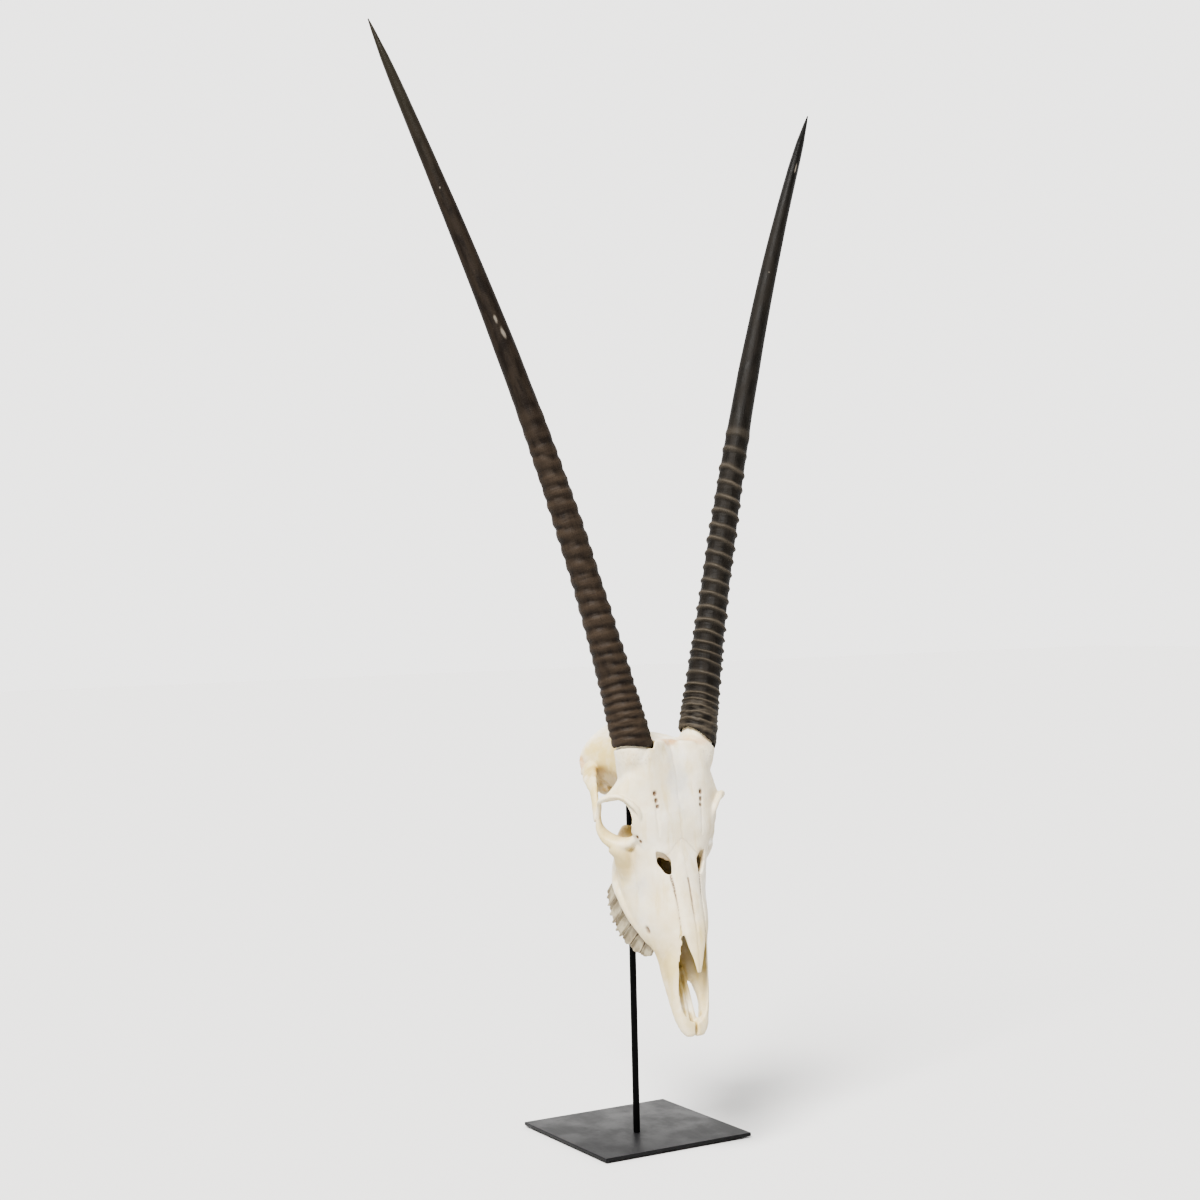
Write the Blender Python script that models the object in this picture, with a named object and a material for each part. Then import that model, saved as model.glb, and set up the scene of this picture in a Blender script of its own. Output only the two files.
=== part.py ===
"""Long-horned antelope skull, nose down on a rod and a square plate. Metres, +Z up, facing -Y.

Tables are in millimetres in the skull's own frame: x is sideways from its midline, y is negative
towards its forehead side and positive towards its palate side, and z is up towards the horns.
"""

import math

import bmesh
import bpy
import numpy as np
from mathutils import Matrix, Vector

MM = 0.001
GAP = 0.0003

PLATE_SIDE = 0.200
PLATE_THICKNESS = 0.004
PAD_HEIGHT = 0.002
PAD_RADIUS = 0.006
PAD_INSET = 0.012
ROD_RADIUS = 0.004
PLATE_EDGE = 0.0006
ROD_X = -0.011
ROD_Y = -0.020
ROD_TOP = 0.448

SKULL_X = -0.011
SKULL_LEAN = math.radians(1.8)
SKULL_PIVOT_Z = 0.430

BONE_VOXEL = 0.0019
HOLLOW_VOXEL = 0.00143
FINE_VOXEL = 0.0016
MASS_SMOOTHING = 8
HOLLOW_SMOOTHING = 2
SKULL_SMOOTHING = 3
SKULL_RATIO = 0.021
EYE_RING_FACING = (0.74, -0.54, -0.40)

# Snout from the lips to below the eyes: (palate y, z), (forehead y, z), then (height, half-width)
# pairs from the palate's midline, at height 0, to the forehead's midline, at height 1.
SNOUT = (
    ((-167, 147), (-175, 150), ((0.05, 9), (0.4, 12), (0.78, 11), (0.95, 7))),
    ((-158, 158), (-174, 163), ((0.05, 15), (0.4, 19), (0.78, 18), (0.95, 14))),
    ((-147, 182), (-169, 189), ((0.05, 20), (0.4, 23), (0.78, 22), (0.95, 18))),
    ((-133, 209), (-169, 221), ((0.05, 22), (0.4, 24), (0.78, 23), (0.95, 17))),
    ((-119, 236), (-172, 252), ((0.05, 24), (0.4, 28), (0.78, 22), (0.95, 13))),
    ((-103, 263), (-167, 283), ((0.05, 36), (0.4, 38), (0.78, 28), (0.95, 15))),
    ((-84, 293), (-157, 315), ((0.05, 43), (0.4, 44), (0.78, 32), (0.95, 17))),
    ((-68, 322), (-148, 343), ((0.05, 44), (0.4, 48), (0.78, 40), (0.95, 23))),
    ((-57, 348), (-141, 367), ((0.05, 30), (0.4, 43), (0.78, 46), (0.95, 32))),
    ((-56, 376), (-138, 388), ((0.05, 13), (0.4, 23), (0.78, 40), (0.95, 38))),
    ((-58, 400), (-135, 408), ((0.05, 14), (0.4, 22), (0.78, 36), (0.95, 36))),
    ((-64, 426), (-130, 430), ((0.05, 14), (0.4, 22), (0.78, 36), (0.95, 30))),
)
# Frontal shield between the eyes and up to the horns, in the same form.
SHIELD = (
    ((-118, 348), (-140, 354), ((0.1, 26), (0.4, 38), (0.7, 37), (0.95, 20))),
    ((-106, 370), (-140, 376), ((0.1, 40), (0.4, 52), (0.7, 48), (0.95, 28))),
    ((-103, 392), (-138, 395), ((0.1, 52), (0.4, 62), (0.7, 54), (0.95, 30))),
    ((-90, 409), (-135, 410), ((0.1, 79), (0.4, 76), (0.7, 59), (0.97, 32))),
    ((-82, 424), (-131, 424), ((0.1, 60), (0.4, 68), (0.72, 61), (0.99, 34))),
    ((-74, 440), (-126, 440), ((0.1, 43), (0.4, 54), (0.76, 58), (1.05, 36))),
    ((-68, 456), (-121, 456), ((0.1, 38), (0.4, 47), (0.8, 51), (1.11, 38))),
    ((-66, 470), (-116, 469), ((0.1, 36), (0.4, 44), (0.84, 46), (1.19, 37))),
    ((-70, 483), (-110, 481), ((0.1, 26), (0.4, 32), (0.84, 34), (1.3, 27))),
)
# Braincase from the forehead back to the neck: (base y, z), (crown y, z), then the pairs.
BRAINCASE = (
    ((-98, 410), (-100, 478), ((0.08, 20), (0.4, 36), (0.75, 40), (0.95, 26))),
    ((-74, 408), (-76, 487), ((0.08, 22), (0.4, 38), (0.75, 40), (0.95, 26))),
    ((-50, 414), (-46, 489), ((0.08, 24), (0.4, 41), (0.75, 39), (0.95, 23))),
    ((-26, 417), (-20, 491), ((0.08, 28), (0.4, 44), (0.75, 40), (0.95, 23))),
    ((-6, 420), (-4, 495), ((0.08, 30), (0.4, 49), (0.75, 42), (0.95, 22))),
    ((10, 424), (4, 494), ((0.08, 28), (0.4, 49), (0.75, 40), (0.95, 18))),
    ((17, 428), (9, 485), ((0.08, 18), (0.4, 34), (0.75, 26), (0.95, 12))),
)

# Rounded bars: each row is x, y, z, then the radius along the bar's wide direction and across it.
NECK_CREST = (
    (47, 2, 441, 5, 5),
    (46, 9, 455, 5, 5),
    (37, 4, 474, 5, 4.5),
    (21, -3, 489, 5, 4.5),
    (0, -5, 496, 6, 5),
)
CONDYLE = ((15, 10, 440, 10, 9), (18, 20, 432, 13, 11), (16, 26, 423, 10, 8))
NECK_RIDGE = ((0, -2, 492, 3, 6), (0, 14, 478, 3, 6), (0, 17, 464, 2.5, 5))
SKULL_BASE = (
    (0, 16, 427, 16, 7),
    (0, -10, 421, 15, 7),
    (0, -40, 414, 12, 8),
    (0, -66, 404, 12, 9),
)
EAR_BULLA = ((24, 0, 427, 8, 8), (26, -8, 421, 10, 9), (24, -18, 421, 6, 6))
EAR_TUBE = ((28, -8, 432, 9, 7), (45, -4, 438, 7, 6), (53, 2, 440, 5, 5))
NECK_PROCESS = ((38, 8, 442, 10, 6), (37, 5, 428, 8, 5), (34, 1, 413, 5, 3))
CHEEK_ARCH = (
    (46, -8, 446, 10, 7),
    (54, -20, 438, 10, 5),
    (62, -38, 431, 8, 4),
    (69, -56, 421, 6, 3.5),
    (73, -68, 404, 6, 3.5),
    (76, -78, 388, 6, 4),
)
EYE_RING = (
    (83, -98, 414, 3.2, 2.6),
    (79, -87, 403, 3.6, 2.8),
    (77, -82, 390, 4.6, 3.2),
    (74, -82, 378, 8, 4.5),
    (66, -88, 367, 10, 6.5),
    (55, -100, 362, 10, 7),
    (47, -113, 368, 7, 5),
    (46, -125, 384, 3.4, 3),
    (53, -129, 403, 3.2, 2.6),
    (69, -117, 418, 3, 2.4),
)
CHEEK_CREST = ((70, -82, 368, 5, 3.5), (62, -90, 359, 7, 4.5), (53, -98, 349, 6, 4.5))
TOOTH_RIDGE = (
    (20, -120, 244, 6, 7),
    (25, -113, 254, 8, 10),
    (29, -105, 265, 9, 12),
    (33, -94, 279, 10, 13),
    (35, -82, 295, 10, 14),
    (35, -69, 310, 10, 14),
    (32, -58, 326, 9, 12),
    (27, -52, 345, 8, 9),
)
PTERYGOID = ((15, -56, 344, 8, 3), (13, -52, 362, 8, 2.5), (11, -52, 379, 6, 2.5))
HORN_STUMP = (
    (26, -84, 424, 20, 16),
    (36, -97, 446, 22.5, 22),
    (42, -103, 463, 22, 22),
    (47, -100, 486, 21, 21),
)
CHEEK_BODY = (
    (65, -92, 360, 9, 8),
    (54, -97, 351, 13, 11),
    (45, -92, 336, 16, 12),
    (36, -94, 318, 16, 12),
)
TEAR_BULLA = ((38, -84, 348, 12, 12), (34, -75, 363, 14, 13), (27, -70, 376, 11, 10))
LIP_BARS = (
    (4.2, -162, 162, 3, 2.5),
    (4, -155, 180, 2.6, 2.5),
    (3.8, -143, 204, 2.6, 3),
    (3.6, -134, 222, 2.4, 3),
)
VOMER = ((0, -128, 250, 2, 8), (0, -100, 300, 2.2, 10), (0, -82, 350, 2.5, 12), (0, -78, 384, 3, 12))
# The two nasal bones, in the form of the snout: under side, outer side, then the pairs.
NASALS = (
    ((-177, 221), (-180, 222), ((0.2, 1.5), (0.5, 2.5), (0.8, 2), (0.95, 1))),
    ((-174, 237), (-179, 238), ((0.1, 5), (0.4, 7), (0.75, 6), (0.95, 2.5))),
    ((-169, 252), (-176, 254), ((0.1, 9.5), (0.4, 11.5), (0.75, 9.5), (0.95, 4))),
    ((-164, 266), (-173, 269), ((0.1, 12), (0.4, 13.5), (0.75, 11.5), (0.95, 5))),
    ((-155, 291), (-165, 294), ((0.1, 14), (0.4, 15), (0.75, 12.5), (0.95, 6))),
    ((-146, 320), (-156, 322), ((0.1, 15), (0.4, 16.5), (0.75, 14), (0.95, 7))),
    ((-136, 348), (-146, 350), ((0.1, 13), (0.4, 14), (0.75, 12), (0.95, 6))),
    ((-130, 366), (-139, 368), ((0.1, 7), (0.4, 8), (0.75, 7), (0.95, 4))),
)

# Hollows that are cut out of the bone, in the forms above.
NASAL_CAVITY = (
    ((-163, 164), (-193, 168), ((0.05, 4), (0.4, 6), (0.78, 7), (0.95, 6))),
    ((-158, 172), (-192, 178), ((0.05, 11), (0.4, 14), (0.78, 14.5), (0.95, 13))),
    ((-151, 187), (-190, 194), ((0.05, 14), (0.4, 18), (0.78, 18.5), (0.95, 17))),
    ((-137, 213), (-186, 227), ((0.05, 15), (0.4, 19), (0.78, 18), (0.95, 14.5))),
    ((-123, 239), (-177, 256), ((0.05, 15), (0.4, 21), (0.78, 16.5), (0.95, 11))),
    ((-110, 264), (-163, 281), ((0.05, 17), (0.4, 28), (0.78, 24), (0.95, 11))),
    ((-93, 293), (-152, 313), ((0.05, 18), (0.4, 31), (0.78, 28), (0.95, 12))),
    ((-80, 322), (-143, 340), ((0.05, 18), (0.4, 31), (0.78, 33), (0.95, 16))),
    ((-70, 345), (-136, 360), ((0.05, 14), (0.4, 24), (0.78, 30), (0.95, 18))),
    ((-72, 366), (-132, 376), ((0.05, 8), (0.4, 14), (0.78, 20), (0.95, 12))),
)
EYE_SOCKET = (
    (92, -122, 376, 27, 28),
    (76, -109, 388, 25, 27),
    (62, -99, 391, 21, 23),
    (49, -87, 394, 15, 18),
    (40, -74, 397, 10, 12),
)
THROAT_PASSAGE = (
    (58, -84, 392, 14, 14),
    (52, -62, 394, 15, 13),
    (40, -36, 392, 18, 15),
    (34, -10, 390, 18, 16),
)
TEMPLE = ((62, -70, 440, 13, 13), (58, -62, 424, 13, 13), (52, -52, 408, 13, 13))
CHOANA = ((0, -50, 372, 8, 10), (0, -62, 360, 9, 11), (0, -76, 348, 10, 12))
FORAMEN_MAGNUM = ((0, 40, 456, 9, 9), (0, 14, 448, 10, 10), (0, -16, 446, 12, 12))
PALATE_SLOT = (
    (10, -158, 165, 2.5, 9),
    (11, -151, 177, 5, 9),
    (11.5, -144, 191, 5, 9),
    (10.5, -137, 205, 2.5, 9),
)
LIP_SLIT = ((0, -182, 136, 2.4, 18), (0, -174, 156, 1.6, 16), (0, -164, 176, 1.2, 14))
FACE_GAP = (
    (37, -142, 356),
    (30, -148, 354),
    (22, -151, 346),
    (20, -150, 329),
    (26, -146, 331),
    (34, -142, 342),
)
# Way from the face inwards along which that gap is cut, per millimetre of depth, and its reach.
GAP_INWARD = (-0.55, 0.8)
GAP_REACH = (-9, 12)


def clear_scene():
    for thing in list(bpy.data.objects):
        bpy.data.objects.remove(thing)


def make_material(name, colour, roughness, metallic=0.0):
    material = bpy.data.materials.new(name)
    material.use_nodes = True
    shader = material.node_tree.nodes["Principled BSDF"]
    shader.inputs["Base Color"].default_value = (*colour, 1.0)
    shader.inputs["Roughness"].default_value = roughness
    shader.inputs["Metallic"].default_value = metallic
    return material


def through(rows, steps):
    """Points on a smooth curve through the rows, with steps points to each stretch."""
    rows = np.array(rows, float)
    padded = np.vstack((2 * rows[0] - rows[1], rows, 2 * rows[-1] - rows[-2]))
    out = []
    for i in range(len(rows) - 1):
        before, start, end, after = padded[i : i + 4]
        for k in range(steps):
            t = k / steps
            out.append(
                0.5
                * (
                    2 * start
                    + (end - before) * t
                    + (2 * before - 5 * start + 4 * end - after) * t**2
                    + (3 * start - before - 3 * end + after) * t**3
                )
            )
    out.append(rows[-1])
    return np.array(out)


def closed_through(rows, steps):
    """Points on a smooth closed curve through the rows."""
    rows = list(rows)
    curve = through(rows[-2:] + rows + rows[:2], steps)
    return curve[2 * steps : (len(rows) + 2) * steps]


def skin_rings(bm, rings, closed=False):
    """Faces between rings of points, with flat ends unless the row of rings is closed."""
    loops = [[bm.verts.new(Vector(point) * MM) for point in ring] for ring in rings]
    count = len(loops[0])
    pairs = list(zip(loops, loops[1:]))
    if closed:
        pairs.append((loops[-1], loops[0]))
    for low, high in pairs:
        for k in range(count):
            bm.faces.new((low[k], low[(k + 1) % count], high[(k + 1) % count], high[k]))
    if not closed:
        bm.faces.new(loops[0][::-1])
        bm.faces.new(loops[-1])


def add_hull(bm, stations, steps=4, outline=3):
    """A body lofted through cross-sections that are the same on both sides of the midline."""
    flat = [(*low, *high, *np.ravel(pairs)) for low, high, pairs in stations]
    rings = []
    for row in through(flat, steps):
        low = row[:2]
        high = row[2:4]
        side = through([(0, 0), *row[4:].reshape(-1, 2), (1, 0)], outline)
        whole = [(height, width) for height, width in side]
        whole += [(height, -width) for height, width in side[-2:0:-1]]
        rings.append([(width, *(low + (high - low) * height)) for height, width in whole])
    skin_rings(bm, rings)


def add_bar(bm, rows, wide=(0, 0, 1), side=1, steps=4, count=12, closed=False):
    """A bar with an oval section along a curve. side -1 mirrors it to the other half."""
    curve = closed_through(rows, steps) if closed else through(rows, steps)
    centres = curve[:, :3]
    if closed:
        ahead = np.roll(centres, -1, axis=0) - np.roll(centres, 1, axis=0)
    else:
        ahead = np.gradient(centres, axis=0)
    rings = []
    for centre, direction, (wide_radius, thin_radius) in zip(centres, ahead, curve[:, 3:5]):
        direction = Vector(direction).normalized()
        across = direction.cross(Vector(wide)).normalized()
        along = across.cross(direction)
        ring = []
        for k in range(count):
            turn = 2 * math.pi * k / count
            offset = along * (math.cos(turn) * wide_radius) + across * (math.sin(turn) * thin_radius)
            ring.append(Vector(centre) + offset)
        rings.append([(point.x * side, point.y, point.z) for point in ring])
    skin_rings(bm, rings, closed)


def add_pair(bm, rows, wide=(0, 0, 1), **options):
    for side in (1, -1):
        add_bar(bm, rows, wide, side, **options)


def new_object(name, bm, material=None):
    bmesh.ops.recalc_face_normals(bm, faces=bm.faces)
    mesh = bpy.data.meshes.new(name)
    bm.to_mesh(mesh)
    bm.free()
    thing = bpy.data.objects.new(name, mesh)
    bpy.context.scene.collection.objects.link(thing)
    if material:
        mesh.materials.append(material)
    return thing


def as_helper(thing):
    thing.hide_render = True
    thing.display_type = "WIRE"
    return thing


# Tooth rows, right or left of the midline: where the crowns leave the bone, and their worn edges.
GUM_LINE = (
    (26, -117, 238),
    (31, -109, 245),
    (36, -101, 256),
    (41, -90, 270),
    (44, -78, 286),
    (44, -64, 301),
    (41, -48, 314),
)
WORN_LINE = (
    (26, -112, 231),
    (31, -98, 231),
    (37, -82, 238),
    (42, -68, 249),
    (45, -55, 264),
    (45, -44, 282),
    (43, -37, 300),
)
TOOTH_LENGTHS = (13, 14, 15, 19, 22, 22)
TOOTH_WIDTHS = (9, 11, 13, 15, 16, 14)
TOOTH_SPACE = 0.9
ROOT_DEPTH = 0.3
TOOTH_ROOM = 0.5
ROW_STEP = 3.0
# Depths of a crown's rim and of the low middle of its worn face, and how far the middle draws in.
CROWN_DEPTHS = (1.0, 0.94)
CROWN_MIDDLE = 0.55
TROUGH_DEPTHS = (-0.32, 1.15)
TROUGH_STEPS = 22
# One tooth seen along its root: (place along the row, distance in from its cheek face in widths).
TOOTH_OUTLINE = (
    (0.0, 0.12),
    (0.2, 0.0),
    (0.5, 0.14),
    (0.8, 0.0),
    (1.0, 0.12),
    (1.0, 0.8),
    (0.75, 1.0),
    (0.5, 0.78),
    (0.25, 1.0),
    (0.0, 0.8),
)

# Horn sheaths: four control points of each curve, and (place along it, radius) pairs.
HORN_CURVES = {
    "right": ((-43, -104, 470), (-111, -57, 790), (-196, -1, 1025), (-307, 65, 1321)),
    "left": ((42, -103, 470), (112, -58, 784), (196, -2, 1033), (332, 79, 1293)),
}
HORN_RADII = (
    (0.0, 23.5),
    (0.04, 22.5),
    (0.08, 20.6),
    (0.14, 18.6),
    (0.25, 17.0),
    (0.36, 15.6),
    (0.46, 14.0),
    (0.6, 12.2),
    (0.72, 10.4),
    (0.83, 8.6),
    (0.9, 6.9),
    (0.95, 4.9),
    (0.985, 2.3),
    (1.0, 0.7),
)
RING_FIRST = 0.012
RING_LAST = 0.5
RING_SPACING = 0.021
RING_WIDENING = 0.2
RING_HEIGHT = 1.7
# Rings grow from this share of their full height at the foot, and fade over this stretch at the end.
RING_FOOT_SHARE = 0.45
RING_GROWTH = 4
RING_FADE = 0.16
RING_VALLEY = 0.55
HORN_SIDES = 12
SHEATH_FOOT = {"right": 0.5, "left": 9.0}
SHEATH_SLANT = {"right": math.radians(14), "left": math.radians(20)}
CORE_START = -0.012
CORE_END = 0.14
CORE_ROOT = 19.5
CORE_TIP = 9.0
CORE_SPACE = 0.4
CORE_HEADROOM = 0.002
SHEATH_START = -0.035
FOOT_DRUM = (0.045, 0.080)
ROOM_DRUM = (0.0265, 0.080)


def bezier(controls, t):
    a, b, c, d = (np.array(point, float) for point in controls)
    return (1 - t) ** 3 * a + 3 * (1 - t) ** 2 * t * b + 3 * (1 - t) * t**2 * c + t**3 * d


def horn_frame(controls, t):
    """Centre of a horn at t, with its sideways, forward and lengthwise directions."""
    step = 0.002
    ahead = Vector(bezier(controls, t + step) - bezier(controls, t - step)).normalized()
    side = Vector((1, 0, 0))
    side = (side - ahead * side.dot(ahead)).normalized()
    return Vector(bezier(controls, t)), side, ahead.cross(side), ahead


def horn_ring(controls, t, radius, sides=HORN_SIDES):
    centre, side, front, _ = horn_frame(controls, t)
    turns = [2 * math.pi * k / sides for k in range(sides)]
    return [centre + (side * math.cos(a) + front * math.sin(a)) * radius for a in turns]


def ring_places():
    """Places of the ridges along a horn: closer together towards the skull."""
    places = []
    place = RING_FIRST
    while place < RING_LAST:
        places.append(place)
        place += RING_SPACING * (0.5 + 0.5 * min(1.0, place / RING_WIDENING))
    return places


def sheath_profile():
    """(place, radius) pairs of the outside of a sheath, with a ridge at each ring."""
    pairs = []
    bare = np.array(HORN_RADII)
    ridges = ring_places()
    for here, after in zip(ridges, ridges[1:] + [RING_LAST]):
        height = RING_HEIGHT * min(1.0, RING_FOOT_SHARE + RING_GROWTH * here)
        height *= min(1.0, (RING_LAST - here) / RING_FADE)
        radius = np.interp(here, bare[:, 0], bare[:, 1])
        pairs.append((here, radius + height * 0.5))
        valley = here + RING_VALLEY * (after - here)
        pairs.append((valley, np.interp(valley, bare[:, 0], bare[:, 1]) - height * 0.5))
    pairs += [(place, radius) for place, radius in HORN_RADII if place > RING_LAST]
    return pairs


def make_tapered(name, controls, pairs, sides=HORN_SIDES, material=None):
    bm = bmesh.new()
    skin_rings(bm, [horn_ring(controls, place, radius, sides) for place, radius in pairs])
    return new_object(name, bm, material)


def make_block(name, matrix, radius, depth, sides=24):
    """A drum that stands on the origin of the matrix and reaches depth along its Z axis."""
    bm = bmesh.new()
    bmesh.ops.create_cone(bm, cap_ends=True, segments=sides, radius1=radius, radius2=radius, depth=depth)
    bmesh.ops.translate(bm, vec=(0, 0, depth / 2), verts=bm.verts)
    thing = new_object(name, bm)
    thing.matrix_world = matrix
    return thing


def foot_matrix(side):
    """Place of the plane on which a sheath ends, with Z along the horn."""
    controls = HORN_CURVES[side]
    centre, across, front, ahead = horn_frame(controls, 0.0)
    centre = (centre + ahead * SHEATH_FOOT[side]) * MM
    turned = Matrix((across, front, ahead)).transposed().to_4x4()
    return Matrix.Translation(centre) @ turned @ Matrix.Rotation(SHEATH_SLANT[side], 4, "Y")


def boolean(thing, operation, other):
    modifier = thing.modifiers.new(operation.lower() + " " + other.name, "BOOLEAN")
    modifier.operation = operation
    modifier.object = other
    return modifier


def smooth_skin(thing, voxel, rounds):
    remesh = thing.modifiers.new("one skin", "REMESH")
    remesh.mode = "VOXEL"
    remesh.voxel_size = voxel
    smooth = thing.modifiers.new("weathering", "SMOOTH")
    smooth.factor = 0.5
    smooth.iterations = rounds


def evaluated_mesh(thing):
    graph = bpy.context.evaluated_depsgraph_get()
    return bpy.data.meshes.new_from_object(thing.evaluated_get(graph))


def make_bone_mass():
    """The thick bones, before anything is hollowed out."""
    bm = bmesh.new()
    for stations in (SNOUT, SHIELD, BRAINCASE):
        add_hull(bm, stations)
    add_pair(bm, TOOTH_RIDGE)
    add_pair(bm, HORN_STUMP, wide=(1, 0, 0), count=20)
    add_pair(bm, EAR_TUBE)
    add_pair(bm, CHEEK_BODY, wide=(0, 1, 0))
    add_pair(bm, TEAR_BULLA)
    add_bar(bm, SKULL_BASE, wide=(1, 0, 0), count=16)
    thing = as_helper(new_object("bone_mass", bm))
    smooth_skin(thing, BONE_VOXEL, MASS_SMOOTHING)
    return thing


def add_face_gap(bm, side):
    """The natural gap between the nasal, tear and cheek bones, as a slab through the wall."""
    inward_x, inward_y = GAP_INWARD
    rings = []
    for depth in GAP_REACH:
        rings.append(
            [(side * (x + inward_x * depth), y + inward_y * depth, z) for x, y, z in FACE_GAP]
        )
    skin_rings(bm, rings)


def make_hollows():
    """Every large hollow as one body: nose, eye sockets, temples, throat, brain opening."""
    bm = bmesh.new()
    add_hull(bm, NASAL_CAVITY)
    for rows in (EYE_SOCKET, THROAT_PASSAGE, TEMPLE, PALATE_SLOT):
        add_pair(bm, rows, wide=(1, 0, 0), count=20)
    for rows in (CHOANA, FORAMEN_MAGNUM, LIP_SLIT):
        add_bar(bm, rows, wide=(1, 0, 0), count=16)
    for side in (1, -1):
        add_face_gap(bm, side)
    thing = as_helper(new_object("hollows", bm))
    smooth_skin(thing, HOLLOW_VOXEL, HOLLOW_SMOOTHING)
    return thing


def make_skull(material):
    """One bone: the hollowed mass, then the thin bars and plates, all under one skin."""
    mass = make_bone_mass()
    boolean(mass, "DIFFERENCE", make_hollows())
    bpy.context.view_layer.update()
    bm = bmesh.new()
    bm.from_mesh(evaluated_mesh(mass))
    bpy.data.objects.remove(mass)
    add_hull(bm, NASALS)
    add_pair(bm, EYE_RING, wide=EYE_RING_FACING, closed=True, count=12)
    add_pair(bm, CHEEK_ARCH, wide=(0, 1, 0))
    add_pair(bm, LIP_BARS, wide=(1, 0, 0))
    add_pair(bm, CHEEK_CREST, wide=(0, 1, 0))
    add_pair(bm, PTERYGOID, wide=(0, 1, 0))
    add_pair(bm, CONDYLE)
    add_pair(bm, EAR_BULLA)
    add_pair(bm, NECK_PROCESS, wide=(1, 0, 0))
    add_bar(bm, VOMER, wide=(1, 0, 0))
    add_bar(bm, NECK_RIDGE, wide=(1, 0, 0))
    add_pair(bm, NECK_CREST, wide=(0, 0.3, 1))
    skull = new_object("skull", bm, material)
    smooth_skin(skull, FINE_VOXEL, SKULL_SMOOTHING)
    decimate = skull.modifiers.new("facets", "DECIMATE")
    decimate.ratio = SKULL_RATIO
    return skull


def make_horn(side, material):
    """A sheath: a ridged taper, cut off at its foot."""
    controls = HORN_CURVES[side]
    profile = [(SHEATH_START, HORN_RADII[0][1]), *sheath_profile()]
    horn = make_tapered("horn_" + side, controls, profile, material=material)
    horn.data.shade_smooth()
    below = foot_matrix(side) @ Matrix.Translation((0, 0, GAP)) @ Matrix.Rotation(math.pi, 4, "X")
    boolean(horn, "DIFFERENCE", as_helper(make_block("foot_" + side, below, *FOOT_DRUM)))
    return horn


def cut_seats(skull, horns, rod_matrix):
    """Horn feet, cores, tooth troughs and the blind hole for the rod."""
    for side, controls in HORN_CURVES.items():
        room = as_helper(make_block("room_" + side, foot_matrix(side), *ROOM_DRUM))
        boolean(skull, "DIFFERENCE", room)
        pairs = ((CORE_START, CORE_ROOT), (0.0, CORE_ROOT), (CORE_END, CORE_TIP))
        boolean(skull, "UNION", as_helper(make_tapered("core_" + side, controls, pairs)))
        pairs = [(place, radius + CORE_SPACE) for place, radius in pairs]
        pairs[-1] = (CORE_END + CORE_HEADROOM, CORE_TIP + CORE_SPACE)
        boolean(horns[side], "DIFFERENCE", as_helper(make_tapered("socket_" + side, controls, pairs)))
    boolean(skull, "DIFFERENCE", as_helper(make_tooth_troughs()))
    hole = make_block("rod_hole", rod_matrix, ROD_RADIUS + GAP, ROD_TOP + GAP, 20)
    boolean(skull, "DIFFERENCE", as_helper(hole))


def row_curves(steps=12):
    """Distances along a tooth row, with its gum line and its worn line at each."""
    gum = through(GUM_LINE, steps)
    worn = through(WORN_LINE, steps)
    along = np.append(0, np.cumsum(np.linalg.norm(np.diff(gum, axis=0), axis=1)))
    return along, gum, worn


def row_axes(place):
    """At a distance along a tooth row: its gum point, the way to its worn edge, and the way inwards."""
    along, gum, worn = row_curves()

    def at(line, place):
        return Vector([np.interp(place, along, line[:, axis]) for axis in range(3)])

    root = at(worn, place) - at(gum, place)
    ahead = at(gum, place + ROW_STEP) - at(gum, place - ROW_STEP)
    across = ahead.cross(root).normalized()
    return at(gum, place), root, -across if across.x > 0 else across


def tooth_rings(index, side, depths, shrinks):
    """Rings of one tooth at each depth: 0 is the gum, 1 the worn edge, and below 0 the root."""
    start = sum(TOOTH_LENGTHS[:index]) + TOOTH_SPACE / 2
    length = TOOTH_LENGTHS[index] - TOOTH_SPACE
    rings = []
    for depth, shrink in zip(depths, shrinks):
        ring = []
        for place, width in TOOTH_OUTLINE:
            gum, root, inward = row_axes(start + length * (0.5 + (place - 0.5) * shrink))
            width = (0.5 + (width - 0.5) * shrink) * TOOTH_WIDTHS[index]
            point = gum + root * depth + inward * width
            ring.append((point.x * side, point.y, point.z))
        rings.append(ring)
    return rings


def make_tooth_troughs():
    """One channel along each jaw that leaves room for the roots and crowns of its teeth."""
    middles = np.cumsum(TOOTH_LENGTHS) - np.array(TOOTH_LENGTHS) / 2
    low, high = TROUGH_DEPTHS
    bm = bmesh.new()
    for side in (1, -1):
        rings = []
        for place in np.linspace(0, sum(TOOTH_LENGTHS) + TOOTH_ROOM, TROUGH_STEPS):
            gum, root, inward = row_axes(place)
            outer = gum - inward * TOOTH_ROOM
            inner = gum + inward * (np.interp(place, middles, TOOTH_WIDTHS) + 2 * TOOTH_ROOM)
            ring = (
                outer + root * low,
                inner + root * low,
                inner + root * high,
                outer + root * high,
            )
            rings.append([(point.x * side, point.y, point.z) for point in ring])
        skin_rings(bm, rings)
    return new_object("tooth_troughs", bm)


def make_teeth(material):
    teeth = []
    for name, side in (("right", -1), ("left", 1)):
        for index in range(len(TOOTH_LENGTHS)):
            bm = bmesh.new()
            rings = tooth_rings(index, side, (-ROOT_DEPTH, *CROWN_DEPTHS), (1, 1, CROWN_MIDDLE))
            skin_rings(bm, rings)
            teeth.append(new_object("tooth_%s_%d" % (name, index + 1), bm, material))
    return teeth


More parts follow.
